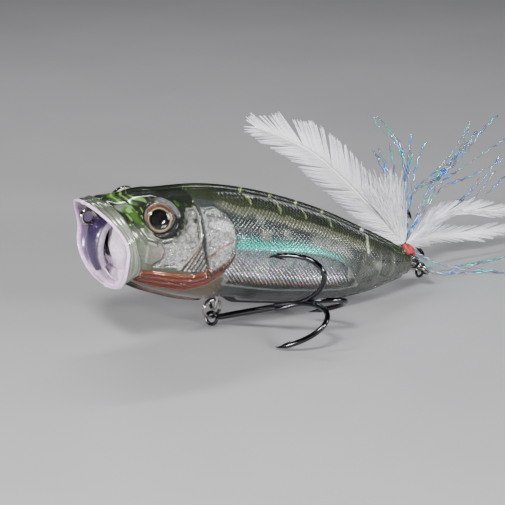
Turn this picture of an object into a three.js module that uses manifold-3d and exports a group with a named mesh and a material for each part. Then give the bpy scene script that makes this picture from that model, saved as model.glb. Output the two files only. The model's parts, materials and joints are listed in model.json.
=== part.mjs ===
// Jointed topwater popper: a hollow two-part lure body with a cupped mouth, wire eyes, split rings,
// a belly treble and a dressed tail treble. Millimetres, +Z up, nose towards -X, table at z = 0.

import * as THREE from 'three';
import { mergeVertices } from 'three/addons/utils/BufferGeometryUtils.js';
import Module from 'manifold-3d';

const wasm = await Module();
wasm.setup();

// ---------------------------------------------------------------- driving dimensions

const BODY_LENGTH = 65;
const NOSE_UP = THREE.MathUtils.degToRad(11.7); // how far the resting body tips its nose up
const MID_HEIGHT = 11.43; // height of the body's middle over the table
const SEAM = 0.15; // each half stops this far from the middle plane
const WALL = 1.2;
const SECTION_POWER = 2.2; // superellipse power of the body's section
const LIP_FADE = 14; // the slanted mouth straightens out over this length

// Body profile, nose to tail: distance from the nose, top, bottom and half width.
const STATIONS = [0, 6, 13, 20, 28, 37, 46, 55, 62, 65];
const TOP = [7.0, 8.5, 9.8, 10.7, 10.6, 9.5, 7.6, 4.9, 2.7, 1.8];
const BOTTOM = [-6.8, -5.3, -6.5, -7.6, -7.7, -7.6, -7.1, -5.4, -3.0, -1.8];
const HALF_WIDTH = [9.0, 8.1, 8.5, 8.8, 8.8, 8.2, 6.9, 4.9, 2.8, 1.7];

// How far the mouth's rim lies behind the nose station, at its top, sides and bottom.
const RIM_TOP = -0.6;
const RIM_SIDE = 4.3;
const RIM_BOTTOM = 6.2;

const CAVITY_START = 10.5;
const CAVITY_END = 58;
const BULKHEAD_START = 52.6; // cross wall behind the rattle
const BULKHEAD_END = 53.6;
const CUP_DEPTH = 4;
const CUP_MOUTH = 0.94; // size of the cup beside the body's section, at the rim
const CUP_TAPER = 0.24; // and how much smaller it is at its back wall

const EYE_CENTRE = new THREE.Vector3(9.95, -6.5, 6.55);
const EYE_FACING = new THREE.Vector3(-0.2, -0.9, 0.4).normalize();
const EYE_RADIUS = 2.5;
const EYE_DISC_THICKNESS = 0.4;
const EYE_DOME_RISE = 1.3;
const SOCKET_RADIUS = 2.75;
const SOCKET_DEPTH = 0.6;
const SOCKET_WALL = 0.8;

const TIE_CENTRE = new THREE.Vector3(0.7, 0, 4.6);
const TIE_RADIUS = 1.2;
const TIE_WIRE = 0.35;
const TIE_STEM_END = 12.5;
const HANGER_FOOT = new THREE.Vector3(26.95, 0, -9.66);
const HANGER_HALF_GAP = 0.9;
const HANGER_WIRE = 0.3;
const HANGER_LEG_TOP = -6.3;
const TAIL_EYE = new THREE.Vector3(66.4, 0, 0.15);
const TAIL_EYE_RADIUS = 1.0;
const TAIL_EYE_WIRE = 0.25;
const TAIL_STEM_END = 57.5;
const WIRE_GAP = 0.2; // room left round each wire where it passes through the shells

const FOIL_START = 24.5;
const FOIL_END = 51.5;
const FOIL_INSET = WALL + 0.35;
const FOIL_THICKNESS = 0.4;

const KEEL_WEIGHT_RADIUS = 1.9;
const KEEL_WEIGHT_LENGTH = 7;
const KEEL_WEIGHT_CENTRE = new THREE.Vector3(36.5, 0, -3.9);

const RING_RADIUS = 1.6; // to the middle of the wire
const RING_WIRE = 0.21;
const RING_PITCH = 0.44;
const RING_TURNS = 1.85;
const BELLY_RING = new THREE.Vector3(-7.4, 0, 3.15);
const TAIL_RING_SLOPE = THREE.MathUtils.degToRad(38);
const TAIL_RING_LINK = new THREE.Vector3(33.45, 0, 4.5); // where the ring runs through the tail eye

const RATTLE_X = 49.5; // station of the cross tube that holds the rattle ball
const RATTLE_Z = -0.6;
const RATTLE_BALL_RADIUS = 1.4;
const RATTLE_BORE = 1.6;
const RATTLE_HALF_LENGTH = 3.2;
const RATTLE_TUBE_WALL = 0.4;

const WRAP_START = 4.6; // distances along the tail treble's shank, from its eye
const WRAP_END = 7.4;
const WRAP_RADIUS = 0.75;
const WRAP_BULGE = 0.35;

// ---------------------------------------------------------------- shape helpers

/** Value at x of the smooth curve through (STATIONS[i], values[i]). */
function profile(values, x) {
  const last = STATIONS.length - 1;
  if (x <= STATIONS[0]) return values[0];
  if (x >= STATIONS[last]) return values[last];
  let i = 0;
  while (x > STATIONS[i + 1]) i += 1;
  const slope = (k) => {
    const a = Math.max(k - 1, 0);
    const b = Math.min(k + 1, last);
    return (values[b] - values[a]) / (STATIONS[b] - STATIONS[a]);
  };
  const span = STATIONS[i + 1] - STATIONS[i];
  const t = (x - STATIONS[i]) / span;
  const h00 = 2 * t ** 3 - 3 * t ** 2 + 1;
  const h10 = t ** 3 - 2 * t ** 2 + t;
  const h01 = -2 * t ** 3 + 3 * t ** 2;
  const h11 = t ** 3 - t ** 2;
  return h00 * values[i] + h10 * span * slope(i) + h01 * values[i + 1] + h11 * span * slope(i + 1);
}

/** How far the rim is set back at an angle round the section, 0 at the right side, 90 at the top. */
function rimSetback(angle) {
  const up = Math.sin(angle);
  const end = up > 0 ? RIM_TOP : RIM_BOTTOM;
  return RIM_SIDE + (end - RIM_SIDE) * Math.abs(up) ** 1.6;
}

/** A point of the body's surface, moved in by inset and scaled about the section's middle. */
function bodyPoint(station, angle, inset = 0, scale = 1) {
  const top = profile(TOP, station) - inset;
  const bottom = profile(BOTTOM, station) + inset;
  const halfWidth = profile(HALF_WIDTH, station) - inset;
  const c = Math.cos(angle);
  const s = Math.sin(angle);
  const power = 2 / SECTION_POWER;
  const y = halfWidth * Math.sign(c) * Math.abs(c) ** power * scale;
  const z = ((top - bottom) / 2) * Math.sign(s) * Math.abs(s) ** power * scale;
  const fade = Math.max(0, 1 - Math.max(station, 0) / LIP_FADE) ** 2;
  return new THREE.Vector3(station + rimSetback(angle) * fade, y, (top + bottom) / 2 + z);
}

/** A closed solid through rings of points that all have the same count, with flat fans at both ends. */
function loft(rings) {
  const sides = rings[0].length;
  const points = rings.flat();
  const faces = [];
  for (let i = 0; i + 1 < rings.length; i += 1) {
    for (let j = 0; j < sides; j += 1) {
      const k = (j + 1) % sides;
      const [a, b, c, d] = [i * sides + j, i * sides + k, (i + 1) * sides + k, (i + 1) * sides + j];
      faces.push(a, b, c, a, c, d);
    }
  }
  const addCap = (ring, start, flip) => {
    const middle = new THREE.Vector3();
    ring.forEach((p) => middle.addScaledVector(p, 1 / sides));
    points.push(middle);
    for (let j = 0; j < sides; j += 1) {
      const k = (j + 1) % sides;
      if (flip) faces.push(points.length - 1, start + j, start + k);
      else faces.push(points.length - 1, start + k, start + j);
    }
  };
  addCap(rings[0], 0, false);
  addCap(rings[rings.length - 1], (rings.length - 1) * sides, true);
  const geometry = new THREE.BufferGeometry().setFromPoints(points);
  geometry.setIndex(faces);
  return facingOut(geometry);
}

/** Turns a closed geometry's faces outwards if its signed volume is negative. */
function facingOut(geometry) {
  const position = geometry.getAttribute('position');
  const index = geometry.index.array;
  const [a, b, c] = [new THREE.Vector3(), new THREE.Vector3(), new THREE.Vector3()];
  let volume = 0;
  for (let i = 0; i < index.length; i += 3) {
    a.fromBufferAttribute(position, index[i]);
    b.fromBufferAttribute(position, index[i + 1]);
    c.fromBufferAttribute(position, index[i + 2]);
    volume += a.dot(b.cross(c));
  }
  if (volume < 0) {
    for (let i = 0; i < index.length; i += 3) {
      [index[i + 1], index[i + 2]] = [index[i + 2], index[i + 1]];
    }
  }
  return geometry;
}

/** Sweeps an ellipse along a curve. widthAt and thickAt give its half axes from 0 to 1 along it. */
function sweep(curve, steps, sides, widthAt, thickAt = widthAt, wideAxis = null) {
  const rings = [];
  let across = wideAxis ? wideAxis.clone() : anyNormal(curve.getTangentAt(0));
  for (let i = 0; i <= steps; i += 1) {
    const u = i / steps;
    const centre = curve.getPointAt(u);
    const tangent = curve.getTangentAt(u);
    across = across.clone().addScaledVector(tangent, -across.dot(tangent)).normalize();
    const other = tangent.clone().cross(across);
    const ring = [];
    for (let j = 0; j < sides; j += 1) {
      const angle = (j / sides) * 2 * Math.PI;
      const point = centre.clone().addScaledVector(across, Math.cos(angle) * widthAt(u));
      ring.push(point.addScaledVector(other, Math.sin(angle) * thickAt(u)));
    }
    rings.push(ring);
  }
  return loft(rings);
}

function anyNormal(direction) {
  const helper = Math.abs(direction.z) < 0.9 ? new THREE.Vector3(0, 0, 1) : new THREE.Vector3(1, 0, 0);
  return helper.cross(direction).normalize();
}

function smoothCurve(points) {
  return new THREE.CatmullRomCurve3(points, false, 'centripetal');
}

/** Turns a geometry, made along +Y or about +Z, so that its own axis points along direction. */
function aim(geometry, direction, own = new THREE.Vector3(0, 1, 0)) {
  const turn = new THREE.Quaternion().setFromUnitVectors(own, direction.clone().normalize());
  return geometry.applyQuaternion(turn);
}

function cylinderBetween(from, to, radius, sides = 20) {
  const along = to.clone().sub(from);
  const geometry = aim(new THREE.CylinderGeometry(radius, radius, along.length(), sides), along);
  const middle = from.clone().add(to).multiplyScalar(0.5);
  return geometry.translate(middle.x, middle.y, middle.z);
}

function box(min, max) {
  const size = max.clone().sub(min);
  const middle = max.clone().add(min).multiplyScalar(0.5);
  return new THREE.BoxGeometry(size.x, size.y, size.z).translate(middle.x, middle.y, middle.z);
}

function toSolid(geometry) {
  const bare = geometry.clone();
  bare.deleteAttribute('normal');
  bare.deleteAttribute('uv');
  const merged = mergeVertices(bare, 1e-4);
  return new wasm.Manifold(
    new wasm.Mesh({
      numProp: 3,
      vertProperties: new Float32Array(merged.getAttribute('position').array),
      triVerts: new Uint32Array(merged.index.array),
    }),
  );
}

function fromSolid(solid) {
  const mesh = solid.getMesh();
  const geometry = new THREE.BufferGeometry();
  geometry.setAttribute('position', new THREE.BufferAttribute(new Float32Array(mesh.vertProperties), 3));
  geometry.setIndex(new THREE.BufferAttribute(new Uint32Array(mesh.triVerts), 1));
  return geometry;
}

function joined(geometries) {
  const solids = geometries.map(toSolid);
  return fromSolid(solids.slice(1).reduce((sum, solid) => sum.add(solid), solids[0]));
}

function part(name, geometry, color, roughness, metalness) {
  const material = new THREE.MeshStandardMaterial({ color, roughness, metalness });
  const mesh = new THREE.Mesh(geometry, material);
  mesh.name = name;
  return mesh;
}

const mirrorY = (v, side) => new THREE.Vector3(v.x, v.y * side, v.z);

// ---------------------------------------------------------------- body shells

function bodyLoft(stations, sides, inset, scaleAt = () => 1) {
  const rings = stations.map((station) => {
    const ring = [];
    for (let j = 0; j < sides; j += 1) {
      ring.push(bodyPoint(station, (j / sides) * 2 * Math.PI, inset, scaleAt(station)));
    }
    return ring;
  });
  return loft(rings);
}

function spread(from, to, count) {
  return Array.from({ length: count + 1 }, (_, i) => from + ((to - from) * i) / count);
}

/** The hollow of the mouth: a cup that narrows a little towards its back wall. */
function mouthCup() {
  const stations = spread(-1, CUP_DEPTH, 7);
  const scaleAt = (station) => CUP_MOUTH - CUP_TAPER * (Math.max(station, 0) / CUP_DEPTH) ** 2;
  return bodyLoft(stations, 32, 0, scaleAt);
}

/** One hand's half of the hollow body. side is 1 for the fish's left (-Y) and -1 for its right. */
function shell(side) {
  const outer = toSolid(bodyLoft([...spread(0, 14, 7), ...spread(16.5, BODY_LENGTH, 18)], 36, 0));
  const cavity = toSolid(bodyLoft(spread(CAVITY_START, CAVITY_END, 12), 24, WALL));
  const bulkhead = box(new THREE.Vector3(BULKHEAD_START, -9, -9), new THREE.Vector3(BULKHEAD_END, 9, 9));
  const centre = mirrorY(EYE_CENTRE, side);
  const facing = mirrorY(EYE_FACING, side);
  const at = (distance) => centre.clone().addScaledVector(facing, distance);
  const boss = toSolid(cylinderBetween(at(-2.2), at(3), SOCKET_RADIUS + SOCKET_WALL, 24)).intersect(outer);
  const socket = toSolid(cylinderBetween(at(-SOCKET_DEPTH), at(5), SOCKET_RADIUS, 28));
  const keep = box(
    new THREE.Vector3(-10, side > 0 ? -20 : SEAM, -20),
    new THREE.Vector3(80, side > 0 ? -SEAM : 20, 20),
  );
  let body = outer.subtract(cavity);
  body = body.add(toSolid(bulkhead).intersect(outer)).add(boss);
  body = body.subtract(socket).subtract(toSolid(mouthCup()));
  wireChannels().forEach((channel) => {
    body = body.subtract(toSolid(channel));
  });
  return fromSolid(body.intersect(toSolid(keep)));
}

/** Room round the three wires and the rattle tube where they pass through the shells. */
function wireChannels() {
  const leg = (y) => {
    const foot = new THREE.Vector3(HANGER_FOOT.x, y, HANGER_FOOT.z);
    const end = new THREE.Vector3(foot.x, y, HANGER_LEG_TOP + 0.8);
    return cylinderBetween(foot, end, HANGER_WIRE + WIRE_GAP, 10);
  };
  const tie = cylinderBetween(
    new THREE.Vector3(2, 0, TIE_CENTRE.z),
    new THREE.Vector3(TIE_STEM_END + 0.5, 0, TIE_CENTRE.z),
    TIE_WIRE + WIRE_GAP,
    10,
  );
  const tail = cylinderBetween(
    new THREE.Vector3(TAIL_STEM_END - 0.5, 0, TAIL_EYE.z),
    new THREE.Vector3(67, 0, TAIL_EYE.z),
    TAIL_EYE_WIRE + WIRE_GAP,
    10,
  );
  return [leg(-HANGER_HALF_GAP), leg(HANGER_HALF_GAP), tie, tail];
}

/** Curved foil plate that stands just inside one flank and rounds off towards the tail. */
function foilPlate(side) {
  const rings = spread(FOIL_START, FOIL_END, 14).map((station) => {
    const share = station / BODY_LENGTH;
    const fade = Math.sin(Math.min(1, (FOIL_END + 0.4 - station) / 6) * (Math.PI / 2));
    const high = 2.8 - 1.6 * share;
    const low = -4.9 + 1.2 * share;
    const middle = (high + low) / 2;
    const ring = [];
    const heights = spread(middle + (low - middle) * fade, middle + (high - middle) * fade, 6);
    heights.forEach((z) => ring.push(flankPoint(station, z, FOIL_INSET, side)));
    heights.reverse();
    heights.forEach((z) => ring.push(flankPoint(station, z, FOIL_INSET + FOIL_THICKNESS, side)));
    return ring;
  });
  return loft(rings);
}

/** Point at height z on the flank, moved in by inset. */
function flankPoint(station, z, inset, side) {
  const top = profile(TOP, station) - inset;
  const bottom = profile(BOTTOM, station) + inset;
  const halfWidth = profile(HALF_WIDTH, station) - inset;
  const rise = Math.min(Math.abs((z - (top + bottom) / 2) / ((top - bottom) / 2)), 0.98);
  const y = halfWidth * (1 - rise ** SECTION_POWER) ** (1 / SECTION_POWER);
  return new THREE.Vector3(station, -y * side, z);
}

// ---------------------------------------------------------------- eyes

function eyeDisc(side) {
  const centre = mirrorY(EYE_CENTRE, side);
  const facing = mirrorY(EYE_FACING, side);
  const at = (distance) => centre.clone().addScaledVector(facing, distance);
  return cylinderBetween(at(-EYE_DISC_THICKNESS), at(0), EYE_RADIUS, 22);
}

function eyeDome(side) {
  const foot = 0.15; // clear of the disc under it
  const arc = spread(0, 6, 6).map((i) => {
    const angle = (i / 6) * (Math.PI / 2);
    return new THREE.Vector2(EYE_RADIUS * Math.cos(angle), foot + 0.05 + EYE_DOME_RISE * Math.sin(angle));
  });
  const outline = [new THREE.Vector2(0, foot), new THREE.Vector2(EYE_RADIUS, foot), ...arc];
  const dome = new THREE.LatheGeometry(outline, 22);
  const centre = mirrorY(EYE_CENTRE, side);
  return aim(dome, mirrorY(EYE_FACING, side)).translate(centre.x, centre.y, centre.z);
}

// ---------------------------------------------------------------- wires and rings

/** A wire eye in the XZ plane: a nearly closed loop whose straight stem runs along x to stemEnd. */
function wireEye(centre, radius, wire, stemEnd) {
  const away = Math.sign(stemEnd - centre.x);
  const points = [new THREE.Vector3(stemEnd, 0, centre.z)];
  points.push(new THREE.Vector3(centre.x + away * (radius + 1.6), 0, centre.z));
  points.push(new THREE.Vector3(centre.x + away * (radius + 0.5), 0, centre.z + 0.1));
  spread(35, 318, 14).forEach((degrees) => {
    const angle = THREE.MathUtils.degToRad(degrees);
    const x = centre.x + away * radius * Math.cos(angle);
    points.push(new THREE.Vector3(x, 0, centre.z + radius * Math.sin(angle)));
  });
  return sweep(smoothCurve(points), 30, 7, () => wire, undefined, new THREE.Vector3(0, 1, 0));
}

/** The belly hanger: a staple in the YZ plane whose legs run up into the body. */
function bellyHanger() {
  const { x, z } = HANGER_FOOT;
  const round = HANGER_HALF_GAP;
  const points = [
    new THREE.Vector3(x, -round, HANGER_LEG_TOP),
    new THREE.Vector3(x, -round, z + round + 0.4),
  ];
  spread(180, 360, 8).forEach((degrees) => {
    const angle = THREE.MathUtils.degToRad(degrees);
    points.push(new THREE.Vector3(x, round * Math.cos(angle), z + round + round * Math.sin(angle)));
  });
  points.push(new THREE.Vector3(x, round, z + round + 0.4));
  points.push(new THREE.Vector3(x, round, HANGER_LEG_TOP));
  return sweep(smoothCurve(points), 20, 7, () => HANGER_WIRE, undefined, new THREE.Vector3(1, 0, 0));
}

/** A split ring about its own Y axis, wound as one flat spring of nearly two turns. */
function splitRing() {
  const points = spread(0, 32, 32).map((i) => {
    const angle = (i / 32) * RING_TURNS * 2 * Math.PI + 0.6;
    const y = (i / 32 - 0.5) * RING_PITCH * RING_TURNS;
    return new THREE.Vector3(RING_RADIUS * Math.cos(angle), y, RING_RADIUS * Math.sin(angle));
  });
  return sweep(smoothCurve(points), 42, 6, () => RING_WIRE, undefined, new THREE.Vector3(0, 1, 0));
}

// ---------------------------------------------------------------- treble hooks

/**
 * A treble hook with its eye's centre at the origin. along is the shank's direction, firstProng the
 * direction of one prong across it, and eyeAxis the way through the eye.
 */
function trebleHook(hook) {
  const { shank, gape, bend, tipBack, wire, eyeRadius } = hook;
  const d = hook.along.clone().normalize();
  const first = hook.firstProng.clone().addScaledVector(d, -hook.firstProng.dot(d)).normalize();
  const solids = [];
  const ring = new THREE.TorusGeometry(eyeRadius, wire * 0.66, 7, 16);
  solids.push(aim(ring, hook.eyeAxis, new THREE.Vector3(0, 0, 1)));
  const at = (s) => d.clone().multiplyScalar(s);
  solids.push(cylinderBetween(at(eyeRadius - 0.1), at(shank + 0.4), wire * 1.15, 10));
  for (let i = 0; i < 3; i += 1) {
    const out = first.clone().applyAxisAngle(d, (i * 2 * Math.PI) / 3);
    const place = (s, q) => at(s).addScaledVector(out, q);
    const points = [place(shank - 1.5, wire * 0.3), place(shank, wire * 0.7)];
    spread(12, 180, 9).forEach((degrees) => {
      const angle = THREE.MathUtils.degToRad(degrees);
      points.push(place(shank + bend * Math.sin(angle), (gape / 2) * (1 - Math.cos(angle))));
    });
    points.push(place(shank - tipBack, gape - 0.25));
    const radiusAt = (u) => wire * Math.min(1, 0.08 + (1 - u) * 9);
    solids.push(sweep(smoothCurve(points), 20, 7, radiusAt));
    const barbRoot = place(shank + 0.9, gape - wire * 0.6);
    const barbTip = place(shank + 2.3, gape - wire * 2.4);
    const barbCurve = new THREE.LineCurve3(barbRoot, barbTip);
    solids.push(sweep(barbCurve, 1, 6, (u) => wire * (0.75 - 0.65 * u)));
  }
  return joined(solids);
}

// ---------------------------------------------------------------- dressing

/** A flat feather or a fan of fibres: a thin blade along a curve with a leaf-shaped outline. */
function blade(points, halfWidth, halfThickness, faceNormal, widest = 0.4) {
  const curve = smoothCurve(points);
  const wide = curve.getTangentAt(0).clone().cross(faceNormal).normalize();
  const leaf = (u) => {
    const t = u < widest ? (u / widest) * 0.5 : 0.5 + ((u - widest) / (1 - widest)) * 0.5;
    return 0.12 + 0.88 * Math.sin(Math.PI * t) ** 0.75;
  };
  const thickAt = (u) => halfThickness * (0.35 + 0.65 * leaf(u));
  return sweep(curve, 11, 8, (u) => halfWidth * leaf(u), thickAt, wide);
}

// ---------------------------------------------------------------- assembly

const popper = new THREE.Group();

const SIDES = [
  ['left', 1],
  ['right', -1],
];

const CLEAR_SMOKE = 0x8d927c;
const STEEL = 0xb9b6b0;
const BLACK_NICKEL = 0x35343a;

// Everything fixed to the lure body is placed from the nose and tipped up as one.
const pitched = new THREE.Group();
pitched.position.set(0, 0, MID_HEIGHT);
pitched.rotation.y = NOSE_UP;
const body = new THREE.Group();
body.position.x = -BODY_LENGTH / 2;
pitched.add(body);
popper.add(pitched);

SIDES.forEach(([hand, side]) => {
  body.add(part(`shell_${hand}`, shell(side), CLEAR_SMOKE, 0.12, 0));
  body.add(part(`foil_plate_${hand}`, foilPlate(side), 0xc9d3d6, 0.25, 0.9));
  body.add(part(`eye_disc_${hand}`, eyeDisc(side), 0x5a2f22, 0.3, 0.4));
  body.add(part(`eye_dome_${hand}`, eyeDome(side), 0xe8e4dc, 0.05, 0));
});

const lineTie = wireEye(TIE_CENTRE, TIE_RADIUS, TIE_WIRE, TIE_STEM_END);
const tailHanger = wireEye(TAIL_EYE, TAIL_EYE_RADIUS, TAIL_EYE_WIRE, TAIL_STEM_END);
body.add(part('line_tie_eye', lineTie, STEEL, 0.25, 1));
body.add(part('belly_hanger', bellyHanger(), STEEL, 0.25, 1));
body.add(part('tail_hanger', tailHanger, STEEL, 0.25, 1));

const keelWeight = new THREE.CapsuleGeometry(KEEL_WEIGHT_RADIUS, KEEL_WEIGHT_LENGTH, 4, 12);
keelWeight.rotateZ(Math.PI / 2);
keelWeight.translate(KEEL_WEIGHT_CENTRE.x, KEEL_WEIGHT_CENTRE.y, KEEL_WEIGHT_CENTRE.z);
body.add(part('keel_weight', keelWeight, 0x5d5f63, 0.4, 1));

/** Cross tube that carries the rattle ball, with its bore open at both ends. */
function rattleTube() {
  const along = new THREE.Vector3(0, RATTLE_HALF_LENGTH, 0);
  const middle = new THREE.Vector3(RATTLE_X, 0, RATTLE_Z);
  const end = (sign, extra) => middle.clone().addScaledVector(along, sign * extra);
  const tube = toSolid(cylinderBetween(end(-1, 1), end(1, 1), RATTLE_BORE + RATTLE_TUBE_WALL, 24));
  const bore = toSolid(cylinderBetween(end(-1, 1.2), end(1, 1.2), RATTLE_BORE, 24));
  return fromSolid(tube.subtract(bore));
}
body.add(part('rattle_tube', rattleTube(), 0x77797a, 0.3, 0.2));
const ball = new THREE.SphereGeometry(RATTLE_BALL_RADIUS, 14, 8).translate(RATTLE_X, 0, RATTLE_Z);
body.add(part('rattle_ball', ball, 0xb98b46, 0.25, 1));

// Belly ring and treble.
const bellyRing = part('belly_split_ring', splitRing(), STEEL, 0.2, 1);
bellyRing.position.copy(BELLY_RING);
popper.add(bellyRing);

const BELLY_ALONG = new THREE.Vector3(7.93, -11.66, 4.26);
const bellyTreble = part(
  'belly_treble',
  trebleHook({
    along: BELLY_ALONG,
    firstProng: new THREE.Vector3(-0.256, 0.173, 0.951),
    eyeAxis: new THREE.Vector3(0.786, 0.574, -0.229),
    shank: 14.73,
    gape: 8.73,
    bend: 8.06,
    tipBack: 0.82,
    wire: 0.45,
    eyeRadius: 1.0,
  }),
  BLACK_NICKEL,
  0.25,
  1,
);
const BELLY_TREBLE_EYE = new THREE.Vector3(-7.5, 0.08, 1.37);
bellyTreble.position.copy(BELLY_TREBLE_EYE);
popper.add(bellyTreble);

// Tail ring and dressed treble.
const slope = new THREE.Vector3(Math.cos(TAIL_RING_SLOPE), 0, -Math.sin(TAIL_RING_SLOPE));
const tailRing = part('tail_split_ring', splitRing(), STEEL, 0.2, 1);
tailRing.position.copy(TAIL_RING_LINK).addScaledVector(slope, RING_RADIUS);
tailRing.quaternion.setFromUnitVectors(
  new THREE.Vector3(0, 1, 0),
  new THREE.Vector3(-slope.z, 0, slope.x),
);
popper.add(tailRing);

const TAIL_EYE_TURN = THREE.MathUtils.degToRad(40); // round the ring, from its lowest point
const tailLink = tailRing.position
  .clone()
  .addScaledVector(slope, RING_RADIUS * Math.cos(TAIL_EYE_TURN))
  .add(new THREE.Vector3(0, RING_RADIUS * Math.sin(TAIL_EYE_TURN), 0));
const tailGroup = new THREE.Group();
tailGroup.position.copy(tailLink).add(new THREE.Vector3(-0.18, 0.21, 0.02));
popper.add(tailGroup);

const TAIL_ALONG = new THREE.Vector3(0.21, 0.93, 0.3).normalize();
const TAIL_WIRE = 0.36;
tailGroup.add(
  part(
    'tail_treble',
    trebleHook({
      along: TAIL_ALONG,
      firstProng: new THREE.Vector3(0.78, -0.02, -0.55),
      eyeAxis: new THREE.Vector3(-0.936, 0.1, 0.337),
      shank: 9.2,
      gape: 5.6,
      bend: 5.4,
      tipBack: 1.2,
      wire: TAIL_WIRE,
      eyeRadius: 1.2,
    }),
    BLACK_NICKEL,
    0.25,
    1,
  ),
);

/** Thread wound round the shank, thickest in the middle, with a hole for the shank. */
function threadWrap() {
  const hole = TAIL_WIRE * 1.15 + 0.12;
  const bulge = spread(0, 1, 8).map((t) => {
    const radius = WRAP_RADIUS + WRAP_BULGE * Math.sin(Math.PI * t);
    return new THREE.Vector2(radius, WRAP_START + (WRAP_END - WRAP_START) * t);
  });
  const inner = [new THREE.Vector2(hole, WRAP_END), new THREE.Vector2(hole, WRAP_START)];
  return aim(new THREE.LatheGeometry([...bulge, ...inner, bulge[0].clone()], 20), TAIL_ALONG);
}
tailGroup.add(part('thread_wrap', threadWrap(), 0xc8161d, 0.3, 0));

const toGroup = (points) => {
  return points.map(([x, y, z]) => new THREE.Vector3(x, y, z).sub(tailGroup.position));
};
const FAN_NORMAL = new THREE.Vector3(-0.49, -0.82, 0.29); // the dressing fans out across this way
const FEATHER_WHITE = 0xf1f0f4;
const TINSEL_PEARL = 0xbfd4e6;
const DRESSING = [
  {
    name: 'feather_side',
    points: [
      [36.2, 9.0, 6.3],
      [33.4, 9.5, 9.8],
      [30.1, 10.2, 13.4],
      [25.2, 11, 18.6],
      [15.9, 13, 26.1],
      [9.2, 14, 29.3],
    ],
    halfWidth: 4.9,
    halfThickness: 0.35,
    color: FEATHER_WHITE,
  },
  {
    name: 'feather_rear_upper',
    points: [
      [38.9, 9.2, 6.2],
      [44, 10.2, 8.6],
      [50, 10.4, 9.0],
      [58, 10.4, 8.2],
      [66, 10.4, 7.0],
    ],
    halfWidth: 3.2,
    halfThickness: 0.35,
    color: FEATHER_WHITE,
  },
  {
    name: 'feather_rear_lower',
    points: [
      [41.2, 12.2, 4.7],
      [46, 12.8, 4.4],
      [52, 12.8, 4.0],
      [60, 12.8, 3.6],
      [66, 12.6, 3.4],
    ],
    halfWidth: 2.8,
    halfThickness: 0.35,
    color: FEATHER_WHITE,
  },
  {
    name: 'tinsel_upper',
    points: [
      [39.4, 10.9, 10.2],
      [39.2, 11.4, 15],
      [37.6, 12, 21],
      [35, 12.6, 27],
    ],
    halfWidth: 1.3,
    halfThickness: 0.3,
    color: TINSEL_PEARL,
  },
  {
    name: 'tinsel_middle',
    points: [
      [39.4, 9.8, 9.0],
      [43.6, 9.6, 13.5],
      [48.5, 9, 18],
      [54, 8, 23.5],
    ],
    halfWidth: 1.5,
    halfThickness: 0.3,
    color: TINSEL_PEARL,
  },
  {
    name: 'tinsel_lower',
    points: [
      [39.4, 7.6, 2.4],
      [43.6, 6, 1.5],
      [50, 3, 1.1],
      [56, -1, 1.1],
    ],
    halfWidth: 0.8,
    halfThickness: 0.3,
    color: TINSEL_PEARL,
  },
];
DRESSING.forEach(({ name, points, halfWidth, halfThickness, color }) => {
  const geometry = blade(toGroup(points), halfWidth, halfThickness, FAN_NORMAL);
  tailGroup.add(part(name, geometry, color, 0.7, 0));
});

// The origin is under the middle of the whole object, on the table.
popper.updateMatrixWorld(true);
const extent = new THREE.Box3().setFromObject(popper, true);
const middle = extent.getCenter(new THREE.Vector3());
popper.position.set(-middle.x, -middle.y, -extent.min.z);

export default popper;
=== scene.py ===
"""The looks of the topwater popper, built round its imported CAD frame.

Shapes are worked out in design millimetres, as in the part's source: the nose end of the body is at
station 0, the tail at 65, and the resting body tips its nose up. One shift takes them to the frame.
"""

import json
import math

import bpy
import numpy as np
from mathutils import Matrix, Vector


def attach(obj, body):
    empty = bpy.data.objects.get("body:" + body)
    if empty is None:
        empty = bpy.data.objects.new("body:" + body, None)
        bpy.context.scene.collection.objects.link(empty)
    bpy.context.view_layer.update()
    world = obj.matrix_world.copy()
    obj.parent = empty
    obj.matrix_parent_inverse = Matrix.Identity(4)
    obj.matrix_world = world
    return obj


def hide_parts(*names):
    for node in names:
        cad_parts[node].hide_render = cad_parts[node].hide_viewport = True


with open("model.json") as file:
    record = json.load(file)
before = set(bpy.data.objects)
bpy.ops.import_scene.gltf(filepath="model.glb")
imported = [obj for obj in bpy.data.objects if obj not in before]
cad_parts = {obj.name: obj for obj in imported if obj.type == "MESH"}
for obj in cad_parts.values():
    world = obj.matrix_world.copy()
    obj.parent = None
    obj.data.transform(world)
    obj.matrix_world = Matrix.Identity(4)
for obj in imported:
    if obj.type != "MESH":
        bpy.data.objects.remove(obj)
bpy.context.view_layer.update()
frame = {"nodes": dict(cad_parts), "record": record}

# ---------------------------------------------------------------- driving dimensions (mm, degrees)

MM = 0.001
BODY_LENGTH = 65.0
NOSE_UP = math.radians(11.7)
MID_HEIGHT = 11.43
SECTION_POWER = 2.2
LIP_FADE = 14.0
STATIONS = np.array([0, 6, 13, 20, 28, 37, 46, 55, 62, 65.0])
TOP = np.array([7.0, 8.5, 9.8, 10.7, 10.6, 9.5, 7.6, 4.9, 2.7, 1.8])
BOTTOM = np.array([-6.8, -5.3, -6.5, -7.6, -7.7, -7.6, -7.1, -5.4, -3.0, -1.8])
HALF_WIDTH = np.array([9.0, 8.1, 8.5, 8.8, 8.8, 8.2, 6.9, 4.9, 2.8, 1.7])
RIM_TOP, RIM_SIDE, RIM_BOTTOM = -0.6, 4.3, 6.2
WALL = 1.2
SKIN_THICKNESS = 0.7
TAIL_TRIM = 0.3  # inset of the last stations, so that the tail treble swings clear
RING_RECESS = 0.9  # hollow of the belly under the hanger, where the split ring swings
RING_STATION = 26.9
CUP_DEPTH = 4.0
CAP_ROWS = 6  # rows of points that close the tail
CUP_MOUTH, CUP_TAPER = 0.94, 0.24

EYE_CENTRE = np.array([9.95, -6.5, 6.55])
EYE_FACING = np.array([-0.2, -0.9, 0.4])
PUPIL_DROP = 0.35  # the pupil sits this far below the middle of the eye

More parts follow.
